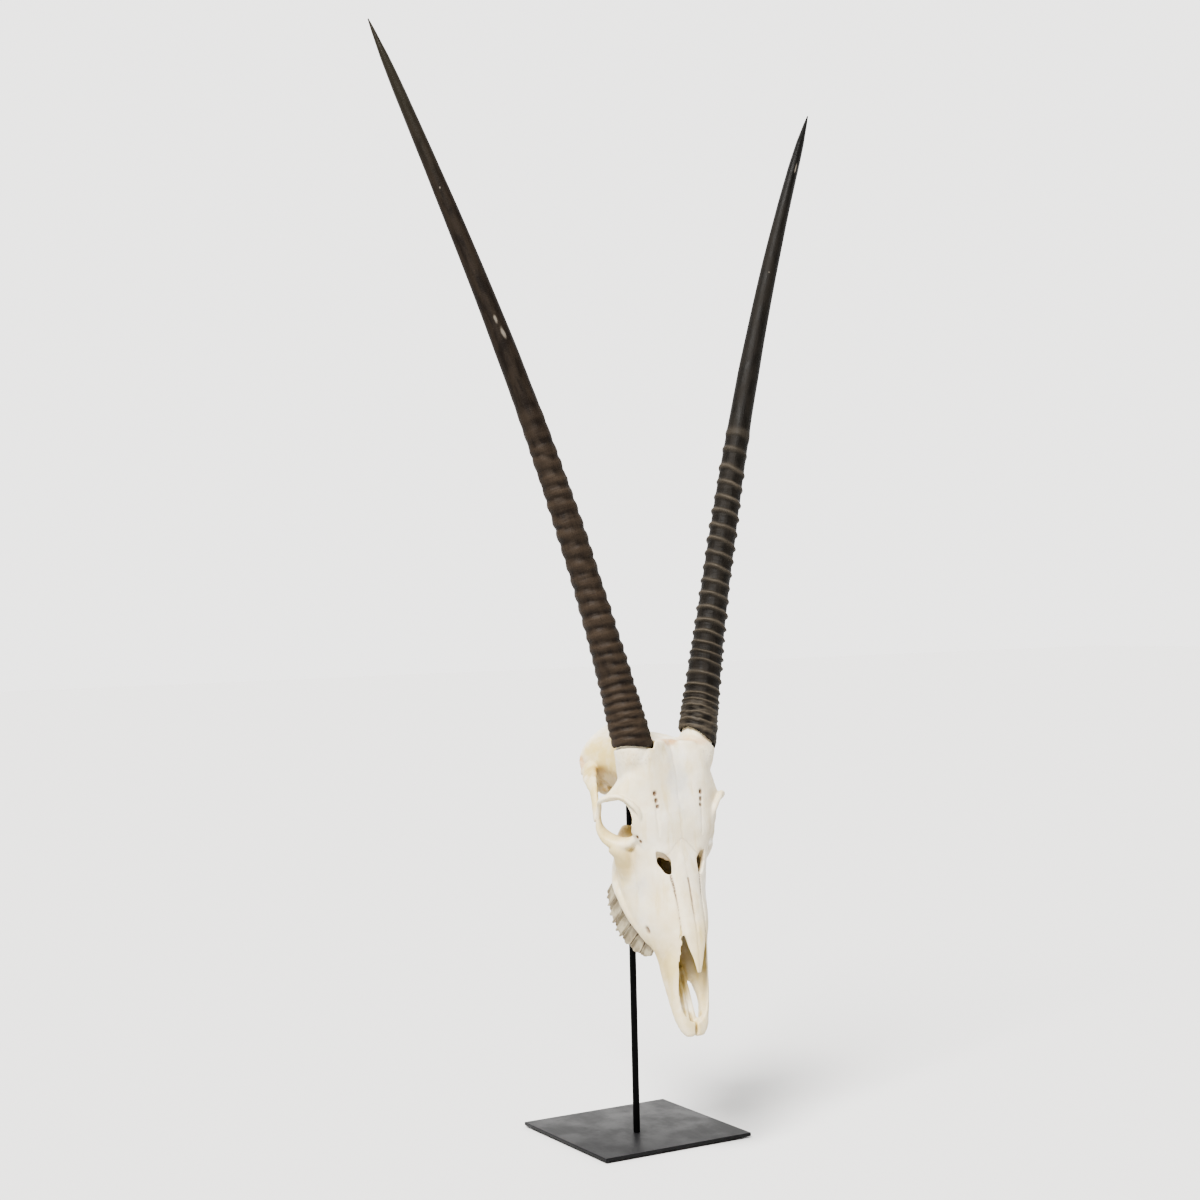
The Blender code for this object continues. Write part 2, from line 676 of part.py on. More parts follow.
def make_stand(steel, rubber):
    """Plate, its four feet and the upright rod."""
    bm = bmesh.new()
    bmesh.ops.create_cube(bm, size=1.0)
    bmesh.ops.scale(bm, vec=(PLATE_SIDE, PLATE_SIDE, PLATE_THICKNESS), verts=bm.verts)
    plate = new_object("base_plate", bm, steel)
    plate.location.z = PAD_HEIGHT + GAP + PLATE_THICKNESS / 2
    rounded = plate.modifiers.new("edge", "BEVEL")
    rounded.width = PLATE_EDGE
    rounded.segments = 1
    pieces = [plate]
    for number, (x, y) in enumerate(((-1, -1), (1, -1), (1, 1), (-1, 1)), start=1):
        reach = PLATE_SIDE / 2 - PAD_INSET
        place = Matrix.Translation((x * reach, y * reach, 0))
        pad = make_block("pad_%d" % number, place, PAD_RADIUS, PAD_HEIGHT, 12)
        pad.data.materials.append(rubber)
        pieces.append(pad)
    rod_foot = PAD_HEIGHT + PLATE_THICKNESS + 2 * GAP
    place = Matrix.Translation((ROD_X, ROD_Y, rod_foot))
    rod = make_block("rod", place, ROD_RADIUS, ROD_TOP - rod_foot, 16)
    rod.data.materials.append(steel)
    rod.data.shade_smooth()
    rod.data.set_sharp_from_angle(angle=math.radians(40))
    return pieces + [rod]


def centre_on_origin(things, holder):
    """Moves the whole object so that the middle of its outer box stands over the origin."""
    bpy.context.view_layer.update()
    corners = []
    for thing in things:
        mesh = evaluated_mesh(thing)
        corners += [thing.matrix_world @ vertex.co for vertex in mesh.vertices]
        bpy.data.meshes.remove(mesh)
    for axis in (0, 1):
        values = [corner[axis] for corner in corners]
        holder.location[axis] = -(min(values) + max(values)) / 2


def add_empty(name):
    empty = bpy.data.objects.new(name, None)
    bpy.context.scene.collection.objects.link(empty)
    return empty


def main():
    clear_scene()
    bone = make_material("bleached bone", (0.86, 0.82, 0.72), 0.6)
    keratin = make_material("dark horn", (0.06, 0.045, 0.035), 0.5)
    enamel = make_material("tooth", (0.8, 0.77, 0.68), 0.35)
    steel = make_material("black steel", (0.02, 0.02, 0.022), 0.35, 0.6)
    rubber = make_material("black rubber", (0.03, 0.03, 0.03), 0.8)

    pivot = Matrix.Translation((SKULL_X, 0, SKULL_PIVOT_Z))
    leaning = pivot @ Matrix.Rotation(SKULL_LEAN, 4, "Y") @ Matrix.Translation((0, 0, -SKULL_PIVOT_Z))
    skull = make_skull(bone)
    horns = {side: make_horn(side, keratin) for side in HORN_CURVES}
    teeth = make_teeth(enamel)
    cut_seats(skull, horns, leaning.inverted() @ Matrix.Translation((ROD_X, ROD_Y, 0)))
    head = list(bpy.data.objects)
    lean = add_empty("lean")
    for thing in head:
        thing.parent = lean
    lean.matrix_world = leaning
    stand = make_stand(steel, rubber)
    whole = add_empty("whole")
    for thing in [lean, *stand]:
        thing.parent = whole
    centre_on_origin([skull, *horns.values(), *teeth, *stand], whole)


main()
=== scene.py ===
"""Long-horned antelope skull held nose down by a rod on a square plate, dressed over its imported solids.

Tables of the skull, its horns and its teeth are in millimetres in the skull's own frame: x is sideways
from its midline, y is negative towards its forehead side, and z is up towards the horns.
"""

import sys
import logging
import math
from dataclasses import dataclass, field
from enum import Enum
from typing import Iterable, Optional, Sequence

import bmesh
import bpy
import numpy as np
from mathutils import Matrix, Vector
from mathutils.bvhtree import BVHTree


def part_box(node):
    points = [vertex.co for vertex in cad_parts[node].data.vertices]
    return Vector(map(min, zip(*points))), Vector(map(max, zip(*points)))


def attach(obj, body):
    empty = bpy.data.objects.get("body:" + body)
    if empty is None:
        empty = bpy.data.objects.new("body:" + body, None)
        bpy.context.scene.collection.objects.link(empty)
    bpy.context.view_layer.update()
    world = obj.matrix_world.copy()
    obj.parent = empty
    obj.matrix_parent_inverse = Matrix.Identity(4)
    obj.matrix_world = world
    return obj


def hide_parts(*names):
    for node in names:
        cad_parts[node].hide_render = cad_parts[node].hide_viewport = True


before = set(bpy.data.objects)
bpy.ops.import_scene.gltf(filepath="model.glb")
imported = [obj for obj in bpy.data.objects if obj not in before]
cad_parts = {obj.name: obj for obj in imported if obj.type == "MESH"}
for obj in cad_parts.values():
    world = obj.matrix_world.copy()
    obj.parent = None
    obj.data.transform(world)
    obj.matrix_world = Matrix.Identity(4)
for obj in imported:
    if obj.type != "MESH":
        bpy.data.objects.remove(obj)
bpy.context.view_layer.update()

MM = 0.001
LOG = logging.getLogger("horned_skull")
ROD_AT = (-0.011, -0.020)
PIVOT_HEIGHT = 0.430
LEAN = math.radians(1.8)

Row = tuple[float, ...]
Rows = tuple[Row, ...]
Ring = Sequence[Sequence[float]]
Station = tuple[Row, Row, Rows]
Colour = tuple[float, float, float]
SheathRings = list[tuple[np.ndarray, np.ndarray | float]]


class Side(Enum):
    """The animal's own sides, with the sign of x on each."""

    RIGHT = -1
    LEFT = 1

    @property
    def word(self) -> str:
        """The side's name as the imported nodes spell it."""
        return self.name.lower()


class Wide(Enum):
    """The direction in which an oval bar has its first radius."""

    SIDEWAYS = (1.0, 0.0, 0.0)
    FRONT_BACK = (0.0, 1.0, 0.0)
    UPRIGHT = (0.0, 0.0, 1.0)
    NECK = (0.0, 0.3, 1.0)
    EYE = (0.74, -0.54, -0.40)


def through(rows: Iterable[Row], steps: int) -> np.ndarray:
    """Points on a smooth curve through the rows.

    Args:
        rows: Rows of equal length that the curve passes through.
        steps: Number of points to each stretch between two rows.

    Returns:
        One row of numbers to each point.
    """
    given = np.array([list(row) for row in rows], float)
    padded = np.vstack((2 * given[0] - given[1], given, 2 * given[-1] - given[-2]))
    out = []
    for i in range(len(given) - 1):
        before, start, end, after = padded[i : i + 4]
        for t in np.arange(steps) / steps:
            bend = 2 * before - 5 * start + 4 * end - after
            twist = 3 * start - before - 3 * end + after
            out.append(0.5 * (2 * start + (end - before) * t + bend * t**2 + twist * t**3))
    out.append(given[-1])
    return np.array(out)


def closed_through(rows: Iterable[Row], steps: int) -> np.ndarray:
    """Points on a smooth closed curve through the rows.

    Args:
        rows: Rows of equal length, in order round the loop.
        steps: Number of points to each stretch.

    Returns:
        One row of numbers to each point, without the first one repeated.
    """
    given = list(rows)
    curve = through(given[-2:] + given + given[:2], steps)
    return curve[2 * steps : (len(given) + 2) * steps]


def smooth_step(values: np.ndarray, low: float, high: float) -> np.ndarray:
    """Values eased from 0 at low to 1 at high."""
    t = np.clip((values - low) / (high - low), 0, 1)
    return t * t * (3 - 2 * t)


class Grain:
    """Smooth random numbers in space, the same on every run."""

    @staticmethod
    def _lattice(cells: np.ndarray, seed: int) -> np.ndarray:
        """One random number from 0 to 1 for each whole-number cell."""
        n = cells.astype(np.int64)
        h = n[..., 0] * 73856093 ^ n[..., 1] * 19349663 ^ n[..., 2] * 83492791 ^ seed * 2654435761
        h = (h ^ (h >> 13)) * 1274126177 & 0xFFFFFFFF
        h = (h ^ (h >> 15)) * 2246822519 & 0xFFFFFFFF
        return ((h ^ (h >> 13)) & 0xFFFFFF) / float(0xFFFFFF)

    @classmethod
    def wave(cls, points: np.ndarray, size: float, seed: int = 0) -> np.ndarray:
        """Soft lumps about size apart.

        Args:
            points: Places in millimetres.
            size: Distance between lumps in millimetres.
            seed: Picks another pattern.

        Returns:
            Numbers from -1 to 1, one to each point.
        """
        scaled = points / size
        base = np.floor(scaled)
        t = scaled - base
        t = t * t * (3 - 2 * t)
        total = np.zeros(len(points))
        for corner in range(8):
            step = np.array([corner & 1, corner >> 1 & 1, corner >> 2 & 1])
            weight = np.prod(np.where(step, t, 1 - t), axis=1)
            total += weight * cls._lattice(base + step, seed)
        return 2 * total - 1

    @classmethod
    def layered(cls, points: np.ndarray, size: float, layers: int = 3, seed: int = 0) -> np.ndarray:
        """Lumps with finer and weaker lumps on them.

        Args:
            points: Places in millimetres.
            size: Distance between the largest lumps.
            layers: Number of sizes, each half of the one before.
            seed: Picks another pattern.

        Returns:
            Numbers of about -1 to 1, one to each point.
        """
        total = np.zeros(len(points))
        for layer in range(layers):
            total += cls.wave(points, size / 2**layer, seed + layer) / 2**layer
        return total / 1.4

    @classmethod
    def pits(cls, points: np.ndarray, size: float, seed: int = 0) -> np.ndarray:
        """Round pits about size apart.

        Args:
            points: Places in millimetres.
            size: Distance between pits.
            seed: Picks another pattern.

        Returns:
            1 in the middle of a pit, falling to 0 at its rim, one number to each point.
        """
        scaled = points / size
        base = np.floor(scaled)
        nearest = np.full(len(points), 9.0)
        for number in range(27):
            cell = base + np.array([number % 3, number // 3 % 3, number // 9]) - 1
            jitter = np.stack([cls._lattice(cell, seed + k) for k in range(3)], axis=1)
            nearest = np.minimum(nearest, np.linalg.norm(cell + jitter - scaled, axis=1))
        return np.clip(1 - nearest / 0.45, 0, 1)


class Draft:
    """A mesh in the making, in millimetres."""

    def __init__(self) -> None:
        """Starts with nothing drawn."""
        self.bm = bmesh.new()

    def skin(self, rings: Sequence[Ring], closed: bool = False) -> None:
        """Faces between rings of points, with flat ends unless the row of rings is closed.

        Args:
            rings: Rings with the same number of points each.
            closed: Joins the last ring to the first.
        """
        loops = [[self.bm.verts.new(Vector(point) * MM) for point in ring] for ring in rings]
        count = len(loops[0])
        pairs = list(zip(loops, loops[1:]))
        if closed:
            pairs.append((loops[-1], loops[0]))
        for low, high in pairs:
            for k in range(count):
                after = (k + 1) % count
                self.bm.faces.new((low[k], low[after], high[after], high[k]))
        if not closed:
            self.bm.faces.new(loops[0][::-1])
            self.bm.faces.new(loops[-1])

    def drum(self, matrix: Matrix, radius: float, depth: float, sides: int = 32) -> None:
        """A drum that stands on the matrix's origin and reaches depth along its Z axis.

        Args:
            matrix: Place and direction, in metres.
            radius: Radius in metres.
            depth: Length in metres.
            sides: Number of flats round it.
        """
        place = matrix @ Matrix.Translation((0, 0, depth / 2))
        bmesh.ops.create_cone(
            self.bm,
            cap_ends=True,
            segments=sides,
            radius1=radius,
            radius2=radius,
            depth=depth,
            matrix=place,
        )

    def finish(self, name: str) -> bpy.types.Object:
        """Turns the draft into an object and frees it.

        Args:
            name: The object's name.

        Returns:
            The new object, linked to the scene.
        """
        bmesh.ops.recalc_face_normals(self.bm, faces=self.bm.faces)
        mesh = bpy.data.meshes.new(name)
        self.bm.to_mesh(mesh)
        self.bm.free()
        thing = bpy.data.objects.new(name, mesh)
        bpy.context.scene.collection.objects.link(thing)
        return thing


@dataclass(frozen=True)
class Hull:
    """A body lofted through sections that are the same on both sides of the midline.

    Each station is (low side y, z), (high side y, z), then (height, half-width) pairs between them.
    """

    stations: tuple[Station, ...]

    def draw(self, draft: Draft, steps: int = 5, outline: int = 5) -> None:
        """Adds the body to a draft.

        Args:
            draft: The draft that takes it.
            steps: Sections to each stretch between stations.
            outline: Points to each stretch of a section's outline.
        """
        flat = [(*low, *high, *np.ravel(pairs)) for low, high, pairs in self.stations]
        rings = []
        for row in through(flat, steps):
            low, high = row[:2], row[2:4]
            side = through([(0, 0), *row[4:].reshape(-1, 2), (1, 0)], outline)
            whole = list(side) + [(height, -width) for height, width in side[-2:0:-1]]
            rings.append([(width, *(low + (high - low) * height)) for height, width in whole])
        draft.skin(rings)


@dataclass(frozen=True)
class Bar:
    """A rounded bar: rows of x, y, z, the radius along its wide direction and the one across it."""

    rows: Rows
    wide: Wide = Wide.UPRIGHT
    closed: bool = False
    paired: bool = True

    def draw(self, draft: Draft, steps: int = 5, count: int = 20) -> None:
        """Adds the bar to a draft, on both sides of the skull if it is one of a pair.

        Args:
            draft: The draft that takes it.
            steps: Sections to each stretch between rows.
            count: Points round each section.
        """
        curve = closed_through(self.rows, steps) if self.closed else through(self.rows, steps)
        centres = curve[:, :3]
        if self.closed:
            ahead = np.roll(centres, -1, axis=0) - np.roll(centres, 1, axis=0)
        else:
            ahead = np.gradient(centres, axis=0)
        turns = 2 * np.pi * np.arange(count) / count
        rings = []
        for centre, direction, radii in zip(centres, ahead, curve[:, 3:5]):
            across = Vector(direction).cross(Vector(self.wide.value)).normalized()
            along = across.cross(Vector(direction).normalized())
            oval = np.outer(np.cos(turns) * radii[0], along)
            rings.append(centre + oval + np.outer(np.sin(turns) * radii[1], across))
        for side in Side if self.paired else (Side.LEFT,):
            draft.skin([ring * (side.value, 1, 1) for ring in rings], self.closed)


def cut(thing: bpy.types.Object, other: bpy.types.Object) -> None:
    """Takes the other object's volume away from a thing, as a modifier."""
    modifier = thing.modifiers.new("cut " + other.name, "BOOLEAN")
    modifier.operation = "DIFFERENCE"
    modifier.object = other
    other.hide_render = True


def one_skin(thing: bpy.types.Object, voxel: float, rounds: int) -> None:
    """Fuses all bodies of a thing under one weathered skin.

    Args:
        thing: The object that gets the modifiers.
        voxel: Fineness of the skin in metres.
        rounds: Number of smoothing rounds.
    """
    remesh = thing.modifiers.new("one skin", "REMESH")
    remesh.mode = "VOXEL"
    remesh.voxel_size = voxel
    smooth = thing.modifiers.new("weathering", "SMOOTH")
    smooth.factor = 0.5
    smooth.iterations = rounds


def settled(thing: bpy.types.Object, *helpers: bpy.types.Object) -> bpy.types.Mesh:
    """Applies a thing's modifiers and removes it and its helpers.

    Args:
        thing: The object to evaluate.
        helpers: Objects that its modifiers used.

    Returns:
        The mesh that the modifiers gave.
    """
    bpy.context.view_layer.update()
    graph = bpy.context.evaluated_depsgraph_get()
    mesh = bpy.data.meshes.new_from_object(thing.evaluated_get(graph))
    for used in (thing, *helpers):
        bpy.data.objects.remove(used)
    return mesh


def points_of(mesh: bpy.types.Mesh) -> np.ndarray:
    """The vertices of a mesh in millimetres, one row to each."""
    flat = np.empty(len(mesh.vertices) * 3, np.float32)
    mesh.vertices.foreach_get("co", flat)
    return flat.reshape(-1, 3).astype(float) / MM


def put_points(mesh: bpy.types.Mesh, points: np.ndarray) -> None:
    """Moves the vertices of a mesh to rows of millimetres."""
    mesh.vertices.foreach_set("co", (points * MM).astype(np.float32).ravel())
    mesh.update()


def normals_of(mesh: bpy.types.Mesh) -> np.ndarray:
    """The unit normals at the vertices of a mesh, one row to each."""
    flat = np.empty(len(mesh.vertices) * 3, np.float32)
    mesh.vertex_normals.foreach_get("vector", flat)
    return flat.reshape(-1, 3).astype(float)


def put_mask(mesh: bpy.types.Mesh, name: str, values: np.ndarray) -> None:
    """Stores one number to each vertex under a name that a finish can read."""
    layer = mesh.attributes.new(name, "FLOAT", "POINT")
    layer.data.foreach_set("value", values.astype(np.float32))


def put_places(mesh: bpy.types.Mesh, name: str, places: np.ndarray) -> None:
    """Stores one place to each vertex under a name that a finish can read."""
    layer = mesh.attributes.new(name, "FLOAT_VECTOR", "POINT")
    layer.data.foreach_set("vector", places.astype(np.float32).ravel())


def plate_centre() -> Vector:
    """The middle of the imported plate, on the surface that it stands on."""
    low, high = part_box("base_plate")
    return Vector(((low[0] + high[0]) / 2, (low[1] + high[1]) / 2, 0.0))


def head_matrix() -> Matrix:
    """Place of the skull's own frame: it leans a little to its left on the rod."""
    pivot = Vector((ROD_AT[0], 0.0, PIVOT_HEIGHT))
    turn = Matrix.Rotation(LEAN, 4, "Y")
    lowered = Matrix.Translation((0, 0, -pivot.z))
    return Matrix.Translation(plate_centre() + pivot) @ turn @ lowered


def hand_over(
    thing: bpy.types.Object,
    material: bpy.types.Material,
    nodes: Sequence[str],
    matrix: Optional[Matrix] = None,
) -> None:
    """Places, dresses and binds a finished piece.

    Args:
        thing: The piece.
        material: Its finish.
        nodes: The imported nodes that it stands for.
        matrix: Where its mesh goes, if it isn't in the row's frame yet.
    """
    if matrix is not None:
        thing.data.transform(matrix)
    thing.data.materials.clear()
    thing.data.materials.append(material)
    thing.data.shade_smooth()
    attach(thing, "root")
    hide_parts(*nodes)
    LOG.info("%s: %d faces, for %s", thing.name, len(thing.data.polygons), ", ".join(nodes))


class NodeBoard:
    """A material with a short way to lay its nodes."""

    def __init__(self, name: str) -> None:
        """Makes an empty material round one Principled shader."""
        self.material = bpy.data.materials.new(name)
        self.material.use_nodes = True
        self.tree = self.material.node_tree
        self.shader = self.tree.nodes["Principled BSDF"]

    def node(self, kind: str, **settings: object) -> bpy.types.Node:
        """Adds a node and sets its properties."""
        made = self.tree.nodes.new(kind)
        for name, value in settings.items():
            setattr(made, name, value)
        return made

    def join(self, source: object, target: bpy.types.NodeSocket) -> None:
        """Links an output to an input, or sets the input if the source is a plain value."""
        if isinstance(source, bpy.types.NodeSocket):
            self.tree.links.new(source, target)
        elif isinstance(source, tuple) and len(source) == 3 and target.type == "RGBA":
            target.default_value = (*source, 1.0)
        else:
            target.default_value = source

    def place(self) -> bpy.types.NodeSocket:
        """Places in the row's frame, in metres."""
        return self.node("ShaderNodeTexCoord").outputs["Object"]

    def mask(self, name: str) -> bpy.types.NodeSocket:
        """A number stored on the mesh."""
        return self.node("ShaderNodeAttribute", attribute_name=name).outputs["Fac"]

    def stored_place(self, name: str) -> bpy.types.NodeSocket:
        """A place stored on the mesh."""
        return self.node("ShaderNodeAttribute", attribute_name=name).outputs["Vector"]

    def stretched(self, source: bpy.types.NodeSocket, scale: Row) -> bpy.types.NodeSocket:
        """Places scaled by another amount along each axis."""
        made = self.node("ShaderNodeMapping")
        self.join(source, made.inputs["Vector"])
        made.inputs["Scale"].default_value = scale
        return made.outputs["Vector"]

    def noise(
        self, where: bpy.types.NodeSocket, scale: float, detail: float = 4.0, rough: float = 0.55
    ) -> bpy.types.NodeSocket:
        """Cloudy noise, from about 0.3 to 0.7."""
        made = self.node("ShaderNodeTexNoise")
        self.join(where, made.inputs["Vector"])
        made.inputs["Scale"].default_value = scale
        made.inputs["Detail"].default_value = detail
        made.inputs["Roughness"].default_value = rough
        return made.outputs["Fac"]

    def cells(self, where: bpy.types.NodeSocket, scale: float) -> bpy.types.NodeSocket:
        """Distance from the nearest of many scattered points."""
        made = self.node("ShaderNodeTexVoronoi")
        self.join(where, made.inputs["Vector"])
        made.inputs["Scale"].default_value = scale
        return made.outputs["Distance"]

    def ease(
        self, value: bpy.types.NodeSocket, low: float, high: float, start: float = 0.0, end: float = 1.0
    ) -> bpy.types.NodeSocket:
        """A value taken from low-high to start-end, eased and held at the ends."""
        made = self.node("ShaderNodeMapRange", interpolation_type="SMOOTHSTEP")
        self.join(value, made.inputs["Value"])
        for name, number in zip(("From Min", "From Max", "To Min", "To Max"), (low, high, start, end)):
            made.inputs[name].default_value = number
        return made.outputs["Result"]

    def sum(self, kind: str, first: object, second: object) -> bpy.types.NodeSocket:
        """Arithmetic on two values: kind is ADD, MULTIPLY, SUBTRACT, MAXIMUM or the like."""
        made = self.node("ShaderNodeMath", operation=kind)
        self.join(first, made.inputs[0])
        self.join(second, made.inputs[1])
        return made.outputs[0]

    def mix(
        self, amount: object, first: object, second: object, kind: str = "MIX"
    ) -> bpy.types.NodeSocket:
        """Two colours blended by an amount."""
        made = self.node("ShaderNodeMix", data_type="RGBA", blend_type=kind)
        self.join(amount, made.inputs["Factor"])
        self.join(first, made.inputs[6])
        self.join(second, made.inputs[7])
        return made.outputs[2]

    def bump(self, height: bpy.types.NodeSocket, distance: float, strength: float = 1.0) -> None:
        """Relief on the shader, distance metres high."""
        made = self.node("ShaderNodeBump")
        made.inputs["Strength"].default_value = strength
        made.inputs["Distance"].default_value = distance
        self.join(height, made.inputs["Height"])
        self.join(made.outputs["Normal"], self.shader.inputs["Normal"])

    def set(self, **values: object) -> None:
        """Sets or links the shader's sockets, named with underscores for spaces."""
        for name, value in values.items():
            self.join(value, self.shader.inputs[name.replace("_", " ")])


@dataclass(frozen=True)
class BoneFinish:
    """Bleached bone: warm white, creamier where it is sheltered and brown in its clefts, with painted shade
    as cream and tan in its hollows, grey in its forehead furrow and on the sides of its snout, and brown in
    its slits and pits.
    """

    pale: Colour = (0.62, 0.555, 0.43)
    chalk: Colour = (0.73, 0.69, 0.60)
    grey_shade: Colour = (0.47, 0.475, 0.48)
    cream: Colour = (0.51, 0.395, 0.145)
    tan: Colour = (0.30, 0.195, 0.06)
    brown: Colour = (0.085, 0.04, 0.012)
    rust: Colour = (0.44, 0.24, 0.09)

    def material(self) -> bpy.types.Material:
        """Builds the material.

        Returns:
            A material that reads the masks ash, cream, tan, rust, cleft and porous from the mesh.
        """
        board = NodeBoard("bleached bone")
        where = board.place()
        cloud = board.ease(board.noise(where, 14.0, 5.0), 0.38, 0.66)
        tone = board.mix(cloud, self.pale, self.chalk)
        streak = board.noise(board.stretched(where, (1.0, 1.0, 0.16)), 90.0, 4.0, 0.6)
        faint = board.ease(streak, 0.5, 0.72, 0.0, 0.42)
        tone = board.mix(faint, tone, self.cream)
        aged = board.ease(board.noise(where, 8.0, 6.0, 0.6), 0.42, 0.68, 0.0, 0.6)
        tone = board.mix(aged, tone, self.cream)
        greyed = board.ease(board.noise(where, 30.0, 5.0, 0.6), 0.38, 0.66, 0.35, 1.0)
        # Painted blue-grey shade in the forehead furrow and on the sides of the snout.
        tone = board.mix(board.sum("MULTIPLY", board.mask("grey_shade"), greyed), tone, self.grey_shade)
        blotch = board.ease(board.noise(where, 38.0, 5.0, 0.62), 0.4, 0.62, 0.55, 1.0)
        tone = board.mix(board.sum("MULTIPLY", board.mask("cream"), blotch), tone, self.cream)
        tone = board.mix(board.sum("MULTIPLY", board.mask("rust"), blotch), tone, self.rust)
        # Tan: mostly painted shade in hollows and on the far side of the face, partly the bone's own tan.
        tone = board.mix(board.sum("MULTIPLY", board.mask("tan"), blotch), tone, self.tan)
        speck = board.ease(board.cells(where, 420.0), 0.05, 0.2, 1.0, 0.0)
        sparse = board.ease(board.noise(where, 60.0, 2.0), 0.6, 0.7)
        speck = board.sum("MULTIPLY", speck, sparse)
        speck = board.sum("MULTIPLY", speck, 0.45)
        # Brown: painted shade in slits, pits and the gap in front of the eye, with darker seams and dark
        # specks of the bone's own.
        shade_and_stain = board.sum("MAXIMUM", board.mask("cleft"), speck)
        tone = board.mix(shade_and_stain, tone, self.brown)
        fine = board.noise(where, 900.0, 3.0, 0.6)
        grain = board.noise(board.stretched(where, (1.0, 1.0, 0.2)), 420.0, 4.0, 0.6)
        pores = board.ease(board.cells(where, 520.0), 0.0, 0.35)
        relief = board.sum("ADD", board.sum("MULTIPLY", fine, 0.25), grain)
        porous = board.sum("MULTIPLY", board.mask("porous"), pores)
        relief = board.sum("ADD", relief, board.sum("MULTIPLY", porous, 1.5))
        board.bump(relief, 0.00035, 0.8)
        gloss = board.ease(board.noise(where, 25.0, 3.0), 0.35, 0.7, 0.46, 0.66)
        board.set(Base_Color=tone, Roughness=gloss, Subsurface_Weight=0.06)
        board.set(Subsurface_Scale=0.004, Subsurface_Radius=(1.0, 0.6, 0.35))
        return board.material


@dataclass(frozen=True)
class HornFinish:
    """Keratin: fibrous brown, paler on the ridges, nearly black and smooth at the tip."""

    name: str
    deep: Colour
    body: Colour
    ridge: Colour
    tip: Colour
    dust: Colour = (0.13, 0.115, 0.095)
    sheen: float = 0.14

    def material(self) -> bpy.types.Material:
        """Builds the material.

        Returns:
            A material that reads the masks ridge, tip and scuff and the place fibre from the mesh.
        """
        board = NodeBoard(self.name)
        fibre = board.stored_place("fibre")
        length = board.noise(board.stretched(fibre, (1.0, 1.0, 0.05)), 1.3, 5.0, 0.65)
        broad = board.noise(board.stretched(fibre, (0.12, 0.12, 0.03)), 1.0, 4.0, 0.6)
        cross = board.noise(board.stretched(fibre, (0.10, 0.10, 1.0)), 0.9, 5.0, 0.65)
        tone = board.mix(board.ease(broad, 0.35, 0.65), self.deep, self.body)
        ridge = board.sum("MULTIPLY", board.mask("ridge"), board.ease(length, 0.2, 0.55, 0.35, 1.0))
        tone = board.mix(ridge, tone, self.ridge)
        lines = board.ease(cross, 0.55, 0.7, 0.0, 0.55)
        tone = board.mix(board.sum("MULTIPLY", lines, board.mask("ridge")), tone, self.deep)
        flake = board.ease(board.noise(fibre, 0.35, 6.0, 0.7), 0.6, 0.72)
        flake = board.sum("MULTIPLY", flake, board.ease(length, 0.45, 0.65))
        tone = board.mix(board.sum("MULTIPLY", flake, 0.35), tone, self.dust)
        tone = board.mix(board.mask("tip"), tone, self.tip)
        tone = board.mix(board.mask("scuff"), tone, self.dust)
        relief = board.sum("ADD", length, board.sum("MULTIPLY", cross, 0.8))
        board.bump(relief, 0.0004, 0.8)
        dull = board.ease(broad, 0.3, 0.7, 0.5, 0.66)
        gloss = board.sum("SUBTRACT", dull, board.sum("MULTIPLY", board.mask("tip"), 0.25))
        board.set(Base_Color=tone, Roughness=gloss, Specular_IOR_Level=self.sheen)
        return board.material


@dataclass(frozen=True)
class ToothFinish:
    """Old cheek teeth: cream enamel with grey-brown painted shade in the grooves, between the teeth and at
    the gum line, and worn, darker chewing faces.
    """

    enamel: Colour = (0.17, 0.138, 0.082)
    ivory: Colour = (0.31, 0.275, 0.19)
    shade_and_wear: Colour = (0.20, 0.155, 0.11)

    def material(self) -> bpy.types.Material:
        """Builds the material.

        Returns:
            A material that reads the mask cleft from the mesh.
        """
        board = NodeBoard("worn enamel")
        where = board.place()
        cloud = board.ease(board.noise(where, 70.0, 4.0), 0.38, 0.64)
        tone = board.mix(cloud, self.enamel, self.ivory)
        streak = board.noise(board.stretched(where, (1.0, 0.5, 0.5)), 320.0, 4.0, 0.65)
        # Grey-brown painted shade in grooves, between teeth and at the gum, together with the darker worn
        # chewing faces.
        shade_and_stain = board.sum("MULTIPLY", board.mask("cleft"), board.ease(streak, 0.3, 0.6, 0.6, 1.0))
        tone = board.mix(shade_and_stain, tone, self.shade_and_wear)
        board.bump(streak, 0.0003, 0.6)
        board.set(Base_Color=tone, Roughness=board.ease(cloud, 0.0, 1.0, 0.34, 0.5))
        return board.material


@dataclass(frozen=True)
class BlackSteelFinish:
    """Black-coated steel: a fine even texture with dust and faint rubbed marks."""

    name: str
    coat: Colour
    worn: Colour
    roughness: float
    texture: float
    sheen: float

    def material(self) -> bpy.types.Material:
        """Builds the material.

        Returns:
            A material for the plate or the rod.
        """
        board = NodeBoard(self.name)
        where = board.place()
        cloud = board.noise(where, 22.0, 5.0, 0.6)
        marks = board.noise(board.stretched(where, (1.0, 0.15, 0.4)), 160.0, 4.0, 0.6)
        amount = board.sum("MULTIPLY", board.ease(cloud, 0.4, 0.68), board.ease(marks, 0.45, 0.7))
        board.bump(board.noise(where, 1500.0, 2.0, 0.5), self.texture, 0.7)
        low, high = self.roughness - 0.05, self.roughness + 0.07
        board.set(Base_Color=board.mix(amount, self.coat, self.worn))
        board.set(Roughness=board.ease(cloud, 0.35, 0.65, low, high), Metallic=0.0)
        board.set(Specular_IOR_Level=self.sheen)
        return board.material


